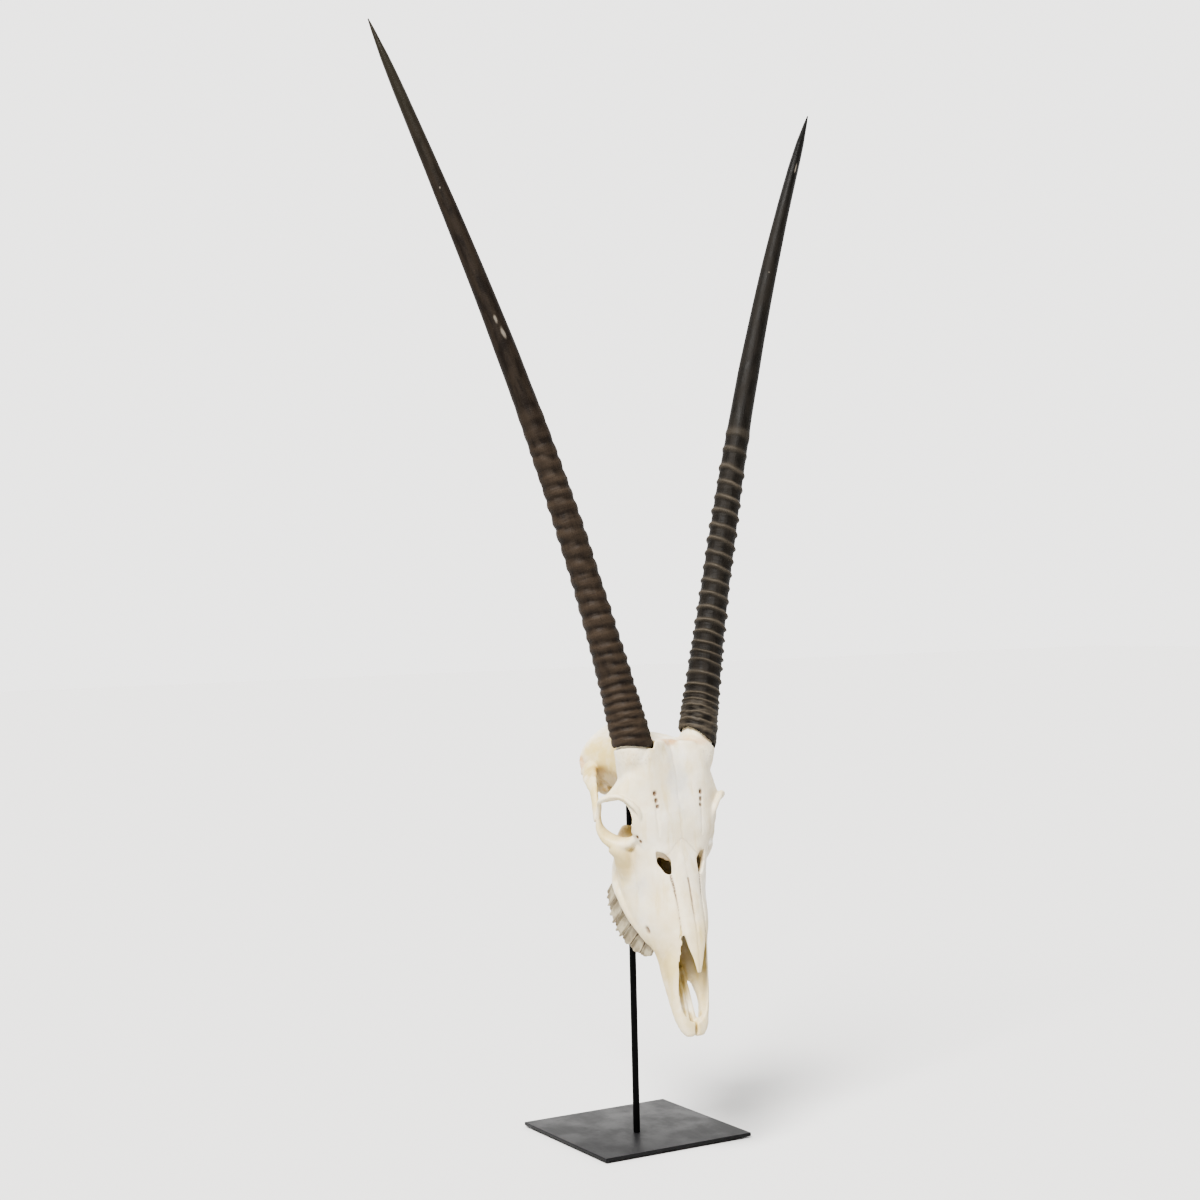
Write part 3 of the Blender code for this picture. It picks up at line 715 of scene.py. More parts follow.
@dataclass(frozen=True)
class RubberFinish:
    """Matt black rubber with a dusty grain."""

    coat: Colour = (0.022, 0.022, 0.023)
    dust: Colour = (0.06, 0.058, 0.055)

    def material(self) -> bpy.types.Material:
        """Builds the material.

        Returns:
            A material for the feet.
        """
        board = NodeBoard("black rubber")
        where = board.place()
        cloud = board.noise(where, 260.0, 4.0, 0.6)
        board.bump(board.noise(where, 1800.0, 2.0), 0.0001, 0.8)
        board.set(Base_Color=board.mix(board.ease(cloud, 0.4, 0.7), self.coat, self.dust))
        board.set(Roughness=board.ease(cloud, 0.3, 0.7, 0.75, 0.92))
        return board.material


@dataclass(frozen=True)
class FloorFinish:
    """Plain pale paint."""

    paint: Colour = (0.60, 0.60, 0.60)

    def material(self) -> bpy.types.Material:
        """Builds the material.

        Returns:
            A material for the floor.
        """
        board = NodeBoard("pale floor")
        board.set(Base_Color=self.paint, Roughness=0.85)
        return board.material


@dataclass(frozen=True)
class Groove:
    """A line cut into the bone: its path, half-width, depth and wander, and how dark it is painted, which in
    the deep slits and pits is painted shade.
    """

    path: Rows
    width: float
    depth: float
    wander: float = 0.6
    dark: float = 0.4
    paired: bool = True
    lift: float = 5.0

    def closeness(self, points: np.ndarray, normals: np.ndarray) -> np.ndarray:
        """How near each point is to the line, seen square to the surface.

        Args:
            points: Places in millimetres.
            normals: The surface's unit normals there.

        Returns:
            1 on the line, falling to 0 a few half-widths away.
        """
        path = through(self.path, 6) if len(self.path) > 2 else np.array(self.path, float)
        reach = 4 * self.width + self.wander + self.lift
        best = np.full(len(points), 99.0)
        folded, facing = points * (1, 1, 1), normals * (1, 1, 1)
        if self.paired:
            flip = np.where(folded[:, 0] * path[:, 0].sum() < 0, -1, 1)
            folded[:, 0] *= flip
            facing[:, 0] *= flip
        low, high = path.min(0) - reach, path.max(0) + reach
        near = np.flatnonzero(((folded > low) & (folded < high)).all(axis=1))
        spots = folded[near]
        sway = [Grain.wave(points[near], 5.0, seed) for seed in (11, 12, 13)]
        spots = spots + np.stack(sway, axis=1) * self.wander
        for start, end in zip(path, path[1:]):
            run = end - start
            t = np.clip((spots - start) @ run / max(run @ run, 1e-9), 0, 1)
            away = spots - start - t[:, None] * run
            above = (away * facing[near]).sum(axis=1)
            away -= above[:, None] * facing[near]
            gap = np.linalg.norm(away, axis=1) + 3 * np.maximum(0, np.abs(above) - self.lift)
            best[near] = np.minimum(best[near], gap)
        return np.exp(-((best / self.width) ** 2))


@dataclass(frozen=True)
class Patch:
    """A soft-edged region of the bone, as an ellipsoid, for one of the finish's masks."""

    mask: str
    centre: Row
    radii: Row
    amount: float = 1.0
    paired: bool = True

    def weight(self, points: np.ndarray) -> np.ndarray:
        """The patch's amount at each point, fading to 0 at its edge."""
        folded = points * (1, 1, 1)
        if self.paired:
            folded[:, 0] = np.sign(self.centre[0]) * np.abs(folded[:, 0])
        ragged = 0.25 * Grain.layered(points, 14.0, 3, 31)
        away = np.linalg.norm((folded - self.centre) / self.radii, axis=1) + ragged
        return self.amount * (1 - smooth_step(away, 0.55, 1.0))


@dataclass
class HornCurve:
    """One horn's centreline as four control points, with the place where its sheath ends."""

    side: Side
    controls: Rows
    foot: float
    slant: float

    def at(self, place: float) -> np.ndarray:
        """The centreline's point at a place from 0 to 1."""
        a, b, c, d = (np.array(point, float) for point in self.controls)
        t = place
        return (1 - t) ** 3 * a + 3 * (1 - t) ** 2 * t * b + 3 * (1 - t) * t**2 * c + t**3 * d

    def directions(self, place: float) -> tuple[Vector, Vector, Vector]:
        """Sideways, forward and lengthwise directions at a place."""
        step = 0.002
        ahead = Vector(self.at(place + step) - self.at(place - step)).normalized()
        across = Vector((1, 0, 0))
        across = (across - ahead * across.dot(ahead)).normalized()
        return across, ahead.cross(across), ahead

    def foot_matrix(self) -> Matrix:
        """The plane on which the sheath ends, in metres, with Z along the horn."""
        across, front, ahead = self.directions(0.0)
        centre = (Vector(self.at(0.0)) + ahead * self.foot) * MM
        turned = Matrix((across, front, ahead)).transposed().to_4x4()
        return Matrix.Translation(centre) @ turned @ Matrix.Rotation(self.slant, 4, "Y")

    def core(self) -> Bar:
        """The bony core that the sheath sits on."""
        places = ((-0.012, 19.3), (0.0, 19.3), (0.05, 16.0), (0.1, 12.0))
        rows = tuple((*self.at(place), radius, radius) for place, radius in places)
        return Bar(rows, Wide.SIDEWAYS, paired=False)


HORN_CURVES: tuple[HornCurve, ...] = (
    HornCurve(
        Side.RIGHT,
        ((-43, -104, 470), (-111, -57, 790), (-196, -1, 1025), (-307, 65, 1321)),
        foot=0.5,
        slant=math.radians(14),
    ),
    HornCurve(
        Side.LEFT,
        ((42, -103, 470), (112, -58, 784), (196, -2, 1033), (332, 79, 1293)),
        foot=9.0,
        slant=math.radians(20),
    ),
)


@dataclass
class ToothRow:
    """The line of cheek teeth on one side: where the crowns leave the bone, and their worn edges."""

    gum: Rows = (
        (26, -117, 238),
        (31, -109, 245),
        (36, -101, 256),
        (41, -90, 270),
        (44, -78, 286),
        (44, -64, 301),
        (41, -48, 314),
    )
    worn: Rows = (
        (26, -112, 231),
        (31, -98, 231),
        (37, -82, 238),
        (42, -68, 249),
        (45, -55, 264),
        (45, -44, 282),
        (43, -37, 300),
    )
    lengths: Row = (13, 14, 15, 19, 22, 22)
    widths: Row = (9, 11, 13, 15, 16, 14)
    space: float = 0.9
    root: float = -0.3
    _curves: tuple[np.ndarray, ...] = field(default=(), repr=False)

    def __post_init__(self) -> None:
        """Works out both curves once, with distances along the gum."""
        gum, worn = through(self.gum, 12), through(self.worn, 12)
        steps = np.linalg.norm(np.diff(gum, axis=0), axis=1)
        self._curves = (np.append(0, np.cumsum(steps)), gum, worn)

    def axes(self, place: float) -> tuple[np.ndarray, np.ndarray, np.ndarray]:
        """Gum point, way to the worn edge and unit way inwards at a distance along the row."""
        along, gum, worn = self._curves

        def at(line: np.ndarray, where: float) -> np.ndarray:
            """The line's point at a distance along the row."""
            return np.array([np.interp(where, along, line[:, axis]) for axis in range(3)])

        root = at(worn, place) - at(gum, place)
        across = np.cross(at(gum, place + 3) - at(gum, place - 3), root)
        across /= np.linalg.norm(across)
        return at(gum, place), root, -across if across[0] > 0 else across

    def trough(self, draft: Draft, side: Side, room: float = 0.1, steps: int = 40) -> None:
        """Draws the channel that the teeth of one side stand in.

        Args:
            draft: The draft that takes it.
            side: The side of the skull.
            room: How much wider than the teeth it is, in millimetres.
            steps: Sections along the row.
        """
        lengths = np.array(self.lengths, float)
        middles = np.cumsum(lengths) - lengths / 2
        rings = []
        for place in np.linspace(0, lengths.sum(), steps):
            gum, root, inward = self.axes(place)
            inner = gum + inward * (np.interp(place, middles, self.widths) + room)
            outer = gum - inward * room
            ring = np.array((outer, inner, inner, outer)) + np.outer((-0.3, -0.3, 1.15, 1.15), root)
            rings.append(ring * (side.value, 1, 1))
        draft.skin(rings)


@dataclass
class SkullBone:
    """The skull: thick bones hollowed out, thin bars and plates added, then seams and pits carved."""

    mass_voxel: float = 0.0015
    fine_voxel: float = 0.00115
    mass_rounds: int = 12
    fine_rounds: int = 4
    most_faces: int = 192000
    shelter_start: float = 0.0008
    shelter_reach: float = 0.045
    shelter_rounds: int = 6
    hollow_fineness: float = 0.75
    hollow_rounds: int = 3
    gap_reach: tuple[float, float] = (-9, 12)
    gap_inward: tuple[float, float] = (-0.55, 0.8)
    rod_room: float = 0.0042
    horn_room: float = 0.0248
    rod_top: float = 0.4481
    snout: Hull = Hull(
        (
            ((-167, 147), (-175, 150), ((0.05, 9), (0.4, 12), (0.78, 11), (0.95, 7))),
            ((-158, 158), (-174, 163), ((0.05, 15), (0.4, 19), (0.78, 18), (0.95, 14))),
            ((-147, 182), (-169, 189), ((0.05, 20), (0.4, 23), (0.78, 22), (0.95, 18))),
            ((-133, 209), (-169, 221), ((0.05, 22), (0.4, 24), (0.78, 23), (0.95, 17))),
            ((-119, 236), (-172, 252), ((0.05, 24), (0.4, 28), (0.78, 22), (0.95, 13))),
            ((-103, 263), (-167, 283), ((0.05, 36), (0.4, 38), (0.78, 28), (0.95, 15))),
            ((-84, 293), (-157, 315), ((0.05, 43), (0.4, 44), (0.78, 32), (0.95, 17))),
            ((-68, 322), (-148, 343), ((0.05, 44), (0.4, 48), (0.78, 40), (0.95, 23))),
            ((-57, 348), (-141, 367), ((0.05, 30), (0.4, 43), (0.78, 46), (0.95, 32))),
            ((-56, 376), (-138, 388), ((0.05, 13), (0.4, 23), (0.78, 40), (0.95, 38))),
            ((-58, 400), (-135, 408), ((0.05, 14), (0.4, 22), (0.78, 36), (0.95, 36))),
            ((-64, 426), (-130, 430), ((0.05, 14), (0.4, 22), (0.78, 36), (0.95, 30))),
        )
    )
    shield: Hull = Hull(
        (
            ((-118, 348), (-140, 354), ((0.1, 26), (0.4, 38), (0.7, 37), (0.95, 20))),
            ((-106, 370), (-140, 376), ((0.1, 40), (0.4, 52), (0.7, 48), (0.95, 28))),
            ((-103, 392), (-138, 395), ((0.1, 52), (0.4, 62), (0.7, 54), (0.95, 30))),
            ((-90, 409), (-135, 410), ((0.1, 79), (0.4, 76), (0.7, 59), (0.97, 32))),
            ((-82, 424), (-131, 424), ((0.1, 60), (0.4, 68), (0.72, 61), (0.99, 34))),
            ((-74, 440), (-126, 440), ((0.1, 43), (0.4, 54), (0.76, 58), (1.05, 36))),
            ((-68, 456), (-121, 456), ((0.1, 38), (0.4, 47), (0.8, 51), (1.11, 38))),
            ((-66, 470), (-116, 469), ((0.1, 36), (0.4, 44), (0.84, 46), (1.19, 37))),
            ((-70, 483), (-110, 481), ((0.1, 26), (0.4, 32), (0.84, 34), (1.3, 27))),
        )
    )
    braincase: Hull = Hull(
        (
            ((-98, 410), (-100, 478), ((0.08, 20), (0.4, 36), (0.75, 40), (0.95, 26))),
            ((-74, 408), (-76, 487), ((0.08, 22), (0.4, 38), (0.75, 40), (0.95, 26))),
            ((-50, 414), (-46, 489), ((0.08, 24), (0.4, 41), (0.75, 39), (0.95, 23))),
            ((-26, 417), (-20, 491), ((0.08, 28), (0.4, 44), (0.75, 40), (0.95, 23))),
            ((-6, 420), (-4, 495), ((0.08, 30), (0.4, 49), (0.75, 42), (0.95, 22))),
            ((10, 424), (4, 494), ((0.08, 28), (0.4, 49), (0.75, 40), (0.95, 18))),
            ((17, 428), (9, 485), ((0.08, 18), (0.4, 34), (0.75, 26), (0.95, 12))),
        )
    )
    nasals: Hull = Hull(
        (
            ((-177, 221), (-180, 222), ((0.2, 1.5), (0.5, 2.5), (0.8, 2), (0.95, 1))),
            ((-174, 237), (-179, 238), ((0.1, 5), (0.4, 7), (0.75, 6), (0.95, 2.5))),
            ((-169, 252), (-176, 254), ((0.1, 9.5), (0.4, 11.5), (0.75, 9.5), (0.95, 4))),
            ((-164, 266), (-173, 269), ((0.1, 12), (0.4, 13.5), (0.75, 11.5), (0.95, 5))),
            ((-155, 291), (-165, 294), ((0.1, 14), (0.4, 15), (0.75, 12.5), (0.95, 6))),
            ((-146, 320), (-156, 322), ((0.1, 15), (0.4, 16.5), (0.75, 14), (0.95, 7))),
            ((-136, 348), (-146, 350), ((0.1, 13), (0.4, 14), (0.75, 12), (0.95, 6))),
            ((-130, 366), (-139, 368), ((0.1, 7), (0.4, 8), (0.75, 7), (0.95, 4))),
        )
    )
    nasal_cavity: Hull = Hull(
        (
            ((-163, 164), (-193, 168), ((0.05, 4), (0.4, 6), (0.78, 7), (0.95, 6))),
            ((-158, 172), (-192, 178), ((0.05, 11), (0.4, 14), (0.78, 14.5), (0.95, 13))),
            ((-151, 187), (-190, 194), ((0.05, 14), (0.4, 18), (0.78, 18.5), (0.95, 17))),
            ((-137, 213), (-186, 227), ((0.05, 15), (0.4, 19), (0.78, 18), (0.95, 14.5))),
            ((-123, 239), (-177, 256), ((0.05, 15), (0.4, 21), (0.78, 16.5), (0.95, 11))),
            ((-110, 264), (-163, 281), ((0.05, 17), (0.4, 28), (0.78, 24), (0.95, 11))),
            ((-93, 293), (-152, 313), ((0.05, 18), (0.4, 31), (0.78, 28), (0.95, 12))),
            ((-80, 322), (-143, 340), ((0.05, 18), (0.4, 31), (0.78, 33), (0.95, 16))),
            ((-70, 345), (-136, 360), ((0.05, 14), (0.4, 24), (0.78, 30), (0.95, 18))),
            ((-72, 366), (-132, 376), ((0.05, 8), (0.4, 14), (0.78, 20), (0.95, 12))),
        )
    )
    mass_bars: tuple[Bar, ...] = (
        Bar(  # tooth ridge
            (
                (20, -120, 244, 6, 7),
                (25, -113, 254, 8, 10),
                (29, -105, 265, 9, 12),
                (33, -94, 279, 10, 13),
                (35, -82, 295, 10, 14),
                (35, -69, 310, 10, 14),
                (32, -58, 326, 9, 12),
                (27, -52, 345, 8, 9),
            ),
        ),
        Bar(  # horn stump
            (
                (26, -84, 424, 20, 16),
                (36, -97, 446, 22.5, 22),
                (42, -103, 463, 22, 22),
                (47, -100, 486, 21, 21),
            ),
            wide=Wide.SIDEWAYS,
        ),
        Bar(  # ear tube
            (
                (28, -8, 432, 9, 7),
                (45, -4, 438, 7, 6),
                (53, 2, 440, 5, 5),
            ),
        ),
        Bar(  # cheek body
            (
                (65, -92, 360, 9, 8),
                (54, -97, 351, 13, 11),
                (45, -92, 336, 16, 12),
                (36, -94, 318, 16, 12),
            ),
            wide=Wide.FRONT_BACK,
        ),
        Bar(  # tear bulla
            (
                (38, -84, 348, 12, 12),
                (34, -75, 363, 14, 13),
                (27, -70, 376, 11, 10),
            ),
        ),
        Bar(  # skull base
            (
                (0, 16, 427, 16, 7),
                (0, -10, 421, 15, 7),
                (0, -40, 414, 12, 8),
                (0, -66, 404, 12, 9),
            ),
            wide=Wide.SIDEWAYS,
            paired=False,
        ),
    )
    hollow_bars: tuple[Bar, ...] = (
        Bar(  # eye socket
            (
                (92, -122, 376, 27, 28),
                (76, -109, 388, 25, 27),
                (62, -99, 391, 21, 23),
                (49, -87, 394, 15, 18),
                (40, -74, 397, 10, 12),
            ),
            wide=Wide.SIDEWAYS,
        ),
        Bar(  # throat passage
            (
                (58, -84, 392, 14, 14),
                (52, -62, 394, 15, 13),
                (40, -36, 392, 18, 15),
                (34, -10, 390, 18, 16),
            ),
            wide=Wide.SIDEWAYS,
        ),
        Bar(  # temple
            (
                (62, -70, 440, 13, 13),
                (58, -62, 424, 13, 13),
                (52, -52, 408, 13, 13),
            ),
            wide=Wide.SIDEWAYS,
        ),
        Bar(  # palate slot
            (
                (10, -158, 165, 2.5, 9),
                (11, -151, 177, 5, 9),
                (11.5, -144, 191, 5, 9),
                (10.5, -137, 205, 2.5, 9),
            ),
            wide=Wide.SIDEWAYS,
        ),
        Bar(  # choana
            (
                (0, -50, 372, 8, 10),
                (0, -62, 360, 9, 11),
                (0, -76, 348, 10, 12),
            ),
            wide=Wide.SIDEWAYS,
            paired=False,
        ),
        Bar(  # foramen magnum
            (
                (0, 40, 456, 9, 9),
                (0, 14, 448, 10, 10),
                (0, -16, 446, 12, 12),
            ),
            wide=Wide.SIDEWAYS,
            paired=False,
        ),
        Bar(  # lip slit
            (
                (0, -182, 136, 2.4, 18),
                (0, -174, 156, 1.6, 16),
                (0, -164, 176, 1.2, 14),
            ),
            wide=Wide.SIDEWAYS,
            paired=False,
        ),
    )
    thin_bars: tuple[Bar, ...] = (
        Bar(  # eye ring
            (
                (83, -98, 414, 3.2, 2.6),
                (79, -87, 403, 3.6, 2.8),
                (77, -82, 390, 4.6, 3.2),
                (74, -82, 378, 8, 4.5),
                (66, -88, 367, 10, 6.5),
                (55, -100, 362, 10, 7),
                (47, -113, 368, 7, 5),
                (46, -125, 384, 3.4, 3),
                (53, -129, 403, 3.2, 2.6),
                (69, -117, 418, 3, 2.4),
            ),
            wide=Wide.EYE,
            closed=True,
        ),
        Bar(  # cheek arch
            (
                (46, -8, 446, 10, 7),
                (54, -20, 438, 10, 5),
                (62, -38, 431, 8, 4),
                (69, -56, 421, 6, 3.5),
                (73, -68, 404, 6, 3.5),
                (76, -78, 388, 6, 4),
            ),
            wide=Wide.FRONT_BACK,
        ),
        Bar(  # lip bars
            (
                (4.2, -162, 162, 3, 2.5),
                (4, -155, 180, 2.6, 2.5),
                (3.8, -143, 204, 2.6, 3),
                (3.6, -134, 222, 2.4, 3),
            ),
            wide=Wide.SIDEWAYS,
        ),
        Bar(  # cheek crest
            (
                (70, -82, 368, 5, 3.5),
                (62, -90, 359, 7, 4.5),
                (53, -98, 349, 6, 4.5),
            ),
            wide=Wide.FRONT_BACK,
        ),
        Bar(  # pterygoid
            (
                (15, -56, 344, 8, 3),
                (13, -52, 362, 8, 2.5),
                (11, -52, 379, 6, 2.5),
            ),
            wide=Wide.FRONT_BACK,
        ),
        Bar(  # condyle
            (
                (15, 10, 440, 10, 9),
                (18, 20, 432, 13, 11),
                (16, 26, 423, 10, 8),
            ),
        ),
        Bar(  # ear bulla
            (
                (24, 0, 427, 8, 8),
                (26, -8, 421, 10, 9),
                (24, -18, 421, 6, 6),
            ),
        ),
        Bar(  # neck process
            (
                (38, 8, 442, 10, 6),
                (37, 5, 428, 8, 5),
                (34, 1, 413, 5, 3),
            ),
            wide=Wide.SIDEWAYS,
        ),
        Bar(  # vomer
            (
                (0, -128, 250, 2, 8),
                (0, -100, 300, 2.2, 10),
                (0, -82, 350, 2.5, 12),
                (0, -78, 384, 3, 12),
            ),
            wide=Wide.SIDEWAYS,
            paired=False,
        ),
        Bar(  # neck ridge
            (
                (0, -2, 492, 3, 6),
                (0, 14, 478, 3, 6),
                (0, 17, 464, 2.5, 5),
            ),
            wide=Wide.SIDEWAYS,
            paired=False,
        ),
        Bar(  # neck crest
            (
                (47, 2, 441, 5, 5),
                (46, 9, 455, 5, 5),
                (37, 4, 474, 5, 4.5),
                (21, -3, 489, 5, 4.5),
                (0, -5, 496, 6, 5),
            ),
            wide=Wide.NECK,
        ),
    )
    face_gap: Rows = (
        (37, -142, 356),
        (30, -148, 354),
        (22, -151, 346),
        (20, -150, 329),
        (26, -146, 331),
        (34, -142, 342),
    )
    grooves: tuple[Groove, ...] = (
        Groove(  # midline seam of the forehead
            ((0, -113, 480), (0.5, -124, 452), (0, -132, 421), (-0.5, -137, 404), (0, -141, 371)),
            width=0.6,
            depth=0.4,
            wander=0.8,
            dark=0.16,
            paired=False,
        ),
        Groove(((0, -141, 371), (-9, -143, 364), (-16, -145, 357), (-22, -146, 352)), 0.6, 0.4, 0.9, 0.25),
        Groove(((0, -141, 370), (0, -155, 326)), 0.5, 0.35, 0.5, 0.2, False),
        # Dark brown down the gap between the nasal bones and in the slit beside each: painted shade.
        Groove(((0, -155, 326), (0, -164, 296), (0, -171, 268)), 0.75, 1.6, 0.3, 0.85, False),
        Groove(((0, -171, 268), (0, -180, 222)), 0.6, 0.8, 0.3, 0.35, False),
        Groove(  # slit beside each nasal bone
            ((-20, -149, 330), (-17.5, -153, 312), (-16, -156, 298), (-14, -160, 275), (-14, -163, 257)),
            width=0.8,
            depth=2.2,
            wander=0.4,
            dark=0.9,
        ),
        Groove(((-52, -100, 352), (-45, -108, 340), (-40, -113, 325), (-38, -116, 308)), 0.6, 0.4, 0.9, 0.2),
        Groove(((-50, -120, 372), (-40, -128, 368), (-31, -138, 358)), 0.5, 0.3, 0.9, 0.12),
        Groove(((-24, -158, 252), (-25, -146, 240), (-24, -134, 226)), 0.5, 0.3, 0.8, 0.12),
        Groove(  # furrow below the pits over the eye
            ((-31, -134, 414), (-30.5, -135, 403), (-30, -137, 388), (-29, -139, 374)),
            width=1.6,
            depth=0.8,
            wander=0.4,
            dark=0.0,
        ),
        # three pits over the eye, two in front of it, one in the cheek, then a seam of the arch; the pits'
        # near-black brown is painted shade
        Groove(((-31, -131, 422), (-31, -131.4, 421)), 2.1, 2.6, 0.1, 1.0),
        Groove(((-30, -132.5, 414.5), (-29.8, -132.8, 412.5)), 1.7, 2.2, 0.1, 1.0),
        Groove(((-29, -134.5, 407.5), (-29, -134.7, 406.5)), 1.7, 1.8, 0.1, 1.0),
        Groove(((-51, -125, 372), (-51, -125, 371.5)), 1.9, 2.0, 0.1, 1.0),
        Groove(((-48, -127, 367), (-48, -127, 366.5)), 1.8, 1.8, 0.1, 1.0),
        Groove(((-37, -125.5, 267), (-36.5, -126.5, 264)), 2.7, 2.8, 0.2, 0.8),
        Groove(((-77, -75, 389), (-71, -70, 397)), 0.6, 0.4, 0.6, 0.35),
    )
    patches: tuple[Patch, ...] = (
        Patch("cream", (-45, -35, 455), (34, 50, 48), 0.95),
        Patch("cream", (-68, -50, 418), (22, 40, 38), 0.8),
        Patch("cream", (-12, -168, 160), (22, 22, 32), 0.6),
        Patch("cream", (-26, -125, 232), (14, 20, 40), 0.5),
        Patch("cream", (-72, -90, 376), (22, 24, 28), 0.45),
        Patch("cream", (-42, -80, 285), (16, 44, 50), 0.5),
        # Tan inside the eye socket: partly the bone's own tan, partly painted shade.
        Patch("tan", (-46, -84, 386), (26, 30, 30), 0.85),
        # Tan inside the nasal opening: painted shade.
        Patch("tan", (0, -138, 240), (19, 24, 64), 0.6, False),
        # Tan and brown in the gap in front of the eye: painted shade.
        Patch("tan", (-20, -136, 342), (13, 11, 20), 1.0),
        Patch("cleft", (-18, -134, 342), (11, 10, 17), 0.55),
        Patch("rust", (0, -110, 480), (15, 12, 9), 1.0, False),
        Patch("rust", (42, -103, 480), (27, 27, 9), 0.5, False),
        Patch("porous", (-44, -106, 462), (31, 30, 14), 0.85),
        # Grey in the forehead furrow: painted shade.
        Patch("grey_shade", (2, -124, 438), (19, 24, 52), 0.6, False),
        # Tan on the braincase wall inside the temple hollow: painted shade.
        Patch("tan", (-36, -28, 426), (34, 44, 27), 1.0),
        # Tan in the hollow under the cheek crest: painted shade.
        Patch("tan", (-56, -106, 342), (16, 22, 26), 0.3),
        Patch("rust", (-53, 7, 445), (12, 15, 15), 0.9),
        Patch("cream", (-56, -84, 335), (30, 34, 44), 0.5),
        Patch("tan", (-26, -138, 218), (12, 22, 44), 0.35),
        # Tan on the far side of the face, turned from the light: painted shade.
        Patch("tan", (48, -124, 378), (15, 24, 62), 0.3, False),
        # Grey on the sides of the snout, turned from the light: painted shade.
        Patch("grey_shade", (-46, -104, 300), (18, 40, 40), 0.4),
        Patch("cream", (-21, -145, 196), (16, 34, 54), 0.55),
    )

    def _mass(self) -> bpy.types.Object:
        """The thick bones before anything is hollowed out."""
        draft = Draft()
        for hull in (self.snout, self.shield, self.braincase):
            hull.draw(draft)
        for bar in self.mass_bars:
            bar.draw(draft)
        mass = draft.finish("bone_mass")
        one_skin(mass, self.mass_voxel, self.mass_rounds)
        return mass

    def _hollows(self) -> bpy.types.Object:
        """Nose, eye sockets, temples, throat and brain opening as one body."""
        draft = Draft()
        self.nasal_cavity.draw(draft)
        for bar in self.hollow_bars:
            bar.draw(draft)
        for side in Side:
            rings = []
            for depth in self.gap_reach:
                aside, back = (way * depth for way in self.gap_inward)
                rings.append([(side.value * (x + aside), y + back, z) for x, y, z in self.face_gap])
            draft.skin(rings)
        hollows = draft.finish("hollows")
        one_skin(hollows, self.mass_voxel * self.hollow_fineness, self.hollow_rounds)
        return hollows

    def _seats(self, row: ToothRow) -> bpy.types.Object:
        """Tooth channels, horn feet and the rod's blind hole as one cutter."""
        draft = Draft()
        for side in Side:
            row.trough(draft, side)
        for horn in HORN_CURVES:
            draft.drum(horn.foot_matrix(), self.horn_room, 0.080, 64)
        upright = head_matrix().inverted() @ Matrix.Translation(
            plate_centre() + Vector((*ROD_AT, 0))
        )
        draft.drum(upright, self.rod_room, self.rod_top)
        return draft.finish("seats")

    def _carve(self, mesh: bpy.types.Mesh) -> None:
        """Seams, wandering surface and porous bone, moved along the surface's own normals."""
        points, normals = points_of(mesh), normals_of(mesh)
        push = 0.7 * Grain.layered(points, 17.0, 3, 3) + 0.16 * Grain.layered(points, 4.0, 2, 8)
        porous = self._masks(points, "porous")
        rough = np.flatnonzero(porous > 0.02)
        pits = Grain.pits(points[rough], 2.6, 21) + 0.6 * Grain.pits(points[rough], 1.7, 29)
        lumps = Grain.layered(points[rough], 6.0, 3, 17)
        push[rough] += porous[rough] * (0.5 * lumps - 0.75 * pits)
        for groove in self.grooves:
            push -= groove.depth * groove.closeness(points, normals)
        put_points(mesh, points + normals * push[:, None])

    def _shelter(self, mesh: bpy.types.Mesh) -> np.ndarray:
        """How far the bone itself hides each vertex from the open, from 0 to 1."""
        tree = BVHTree.FromPolygons(
            [vertex.co for vertex in mesh.vertices], [face.vertices for face in mesh.polygons]
        )
        signs = [(x, y, z) for x in (-1, 0, 1) for y in (-1, 0, 1) for z in (-1, 0, 1) if x or y or z]
        ways = [Vector(sign).normalized() for sign in signs]
        hidden = np.zeros(len(mesh.vertices))
        for index, vertex in enumerate(mesh.vertices):
            normal = vertex.normal
            start = vertex.co + normal * self.shelter_start
            open_ways = [way for way in ways if way.dot(normal) > 0.3]
            hits = [tree.ray_cast(start, way, self.shelter_reach)[0] for way in open_ways]
            hidden[index] = sum(hit is not None for hit in hits) / max(1, len(hits))
        ends = np.empty(2 * len(mesh.edges), np.int32)
        mesh.edges.foreach_get("vertices", ends)
        first, second = ends.reshape(-1, 2).T
        count = np.bincount(first, minlength=len(hidden)) + np.bincount(second, minlength=len(hidden))
        for _ in range(self.shelter_rounds):
            total = np.bincount(first, hidden[second], len(hidden))
            total += np.bincount(second, hidden[first], len(hidden))
            hidden = 0.4 * hidden + 0.6 * total / np.maximum(count, 1)
        return hidden

    def _masks(self, points: np.ndarray, name: str) -> np.ndarray:
        """The strongest of a mask's patches at each point."""
        total = np.zeros(len(points))
        for patch in self.patches:
            if patch.mask == name:
                total = np.maximum(total, patch.weight(points))
        return np.clip(total, 0, 1)

    def _store_masks(self, mesh: bpy.types.Mesh) -> None:
        """Stores the finish's masks on the mesh, with painted shade added to cream and tan where the bone
        hides itself from the open.
        """
        points, normals = points_of(mesh), normals_of(mesh)
        shelter = self._shelter(mesh)
        # Painted ambient-occlusion shade: the more the bone hides a vertex from the open, the creamier and
        # then the more tan it is painted; this also stands for staining in hollows.
        hollow_shade_and_stain = {"cream": smooth_step(shelter, 0.2, 0.6), "tan": 0.8 * smooth_step(shelter, 0.5, 0.95)}
        for name in ("grey_shade", "cream", "tan", "rust", "porous"):
            mask = self._masks(points, name)
            put_mask(mesh, name, np.maximum(mask, hollow_shade_and_stain.get(name, 0)))
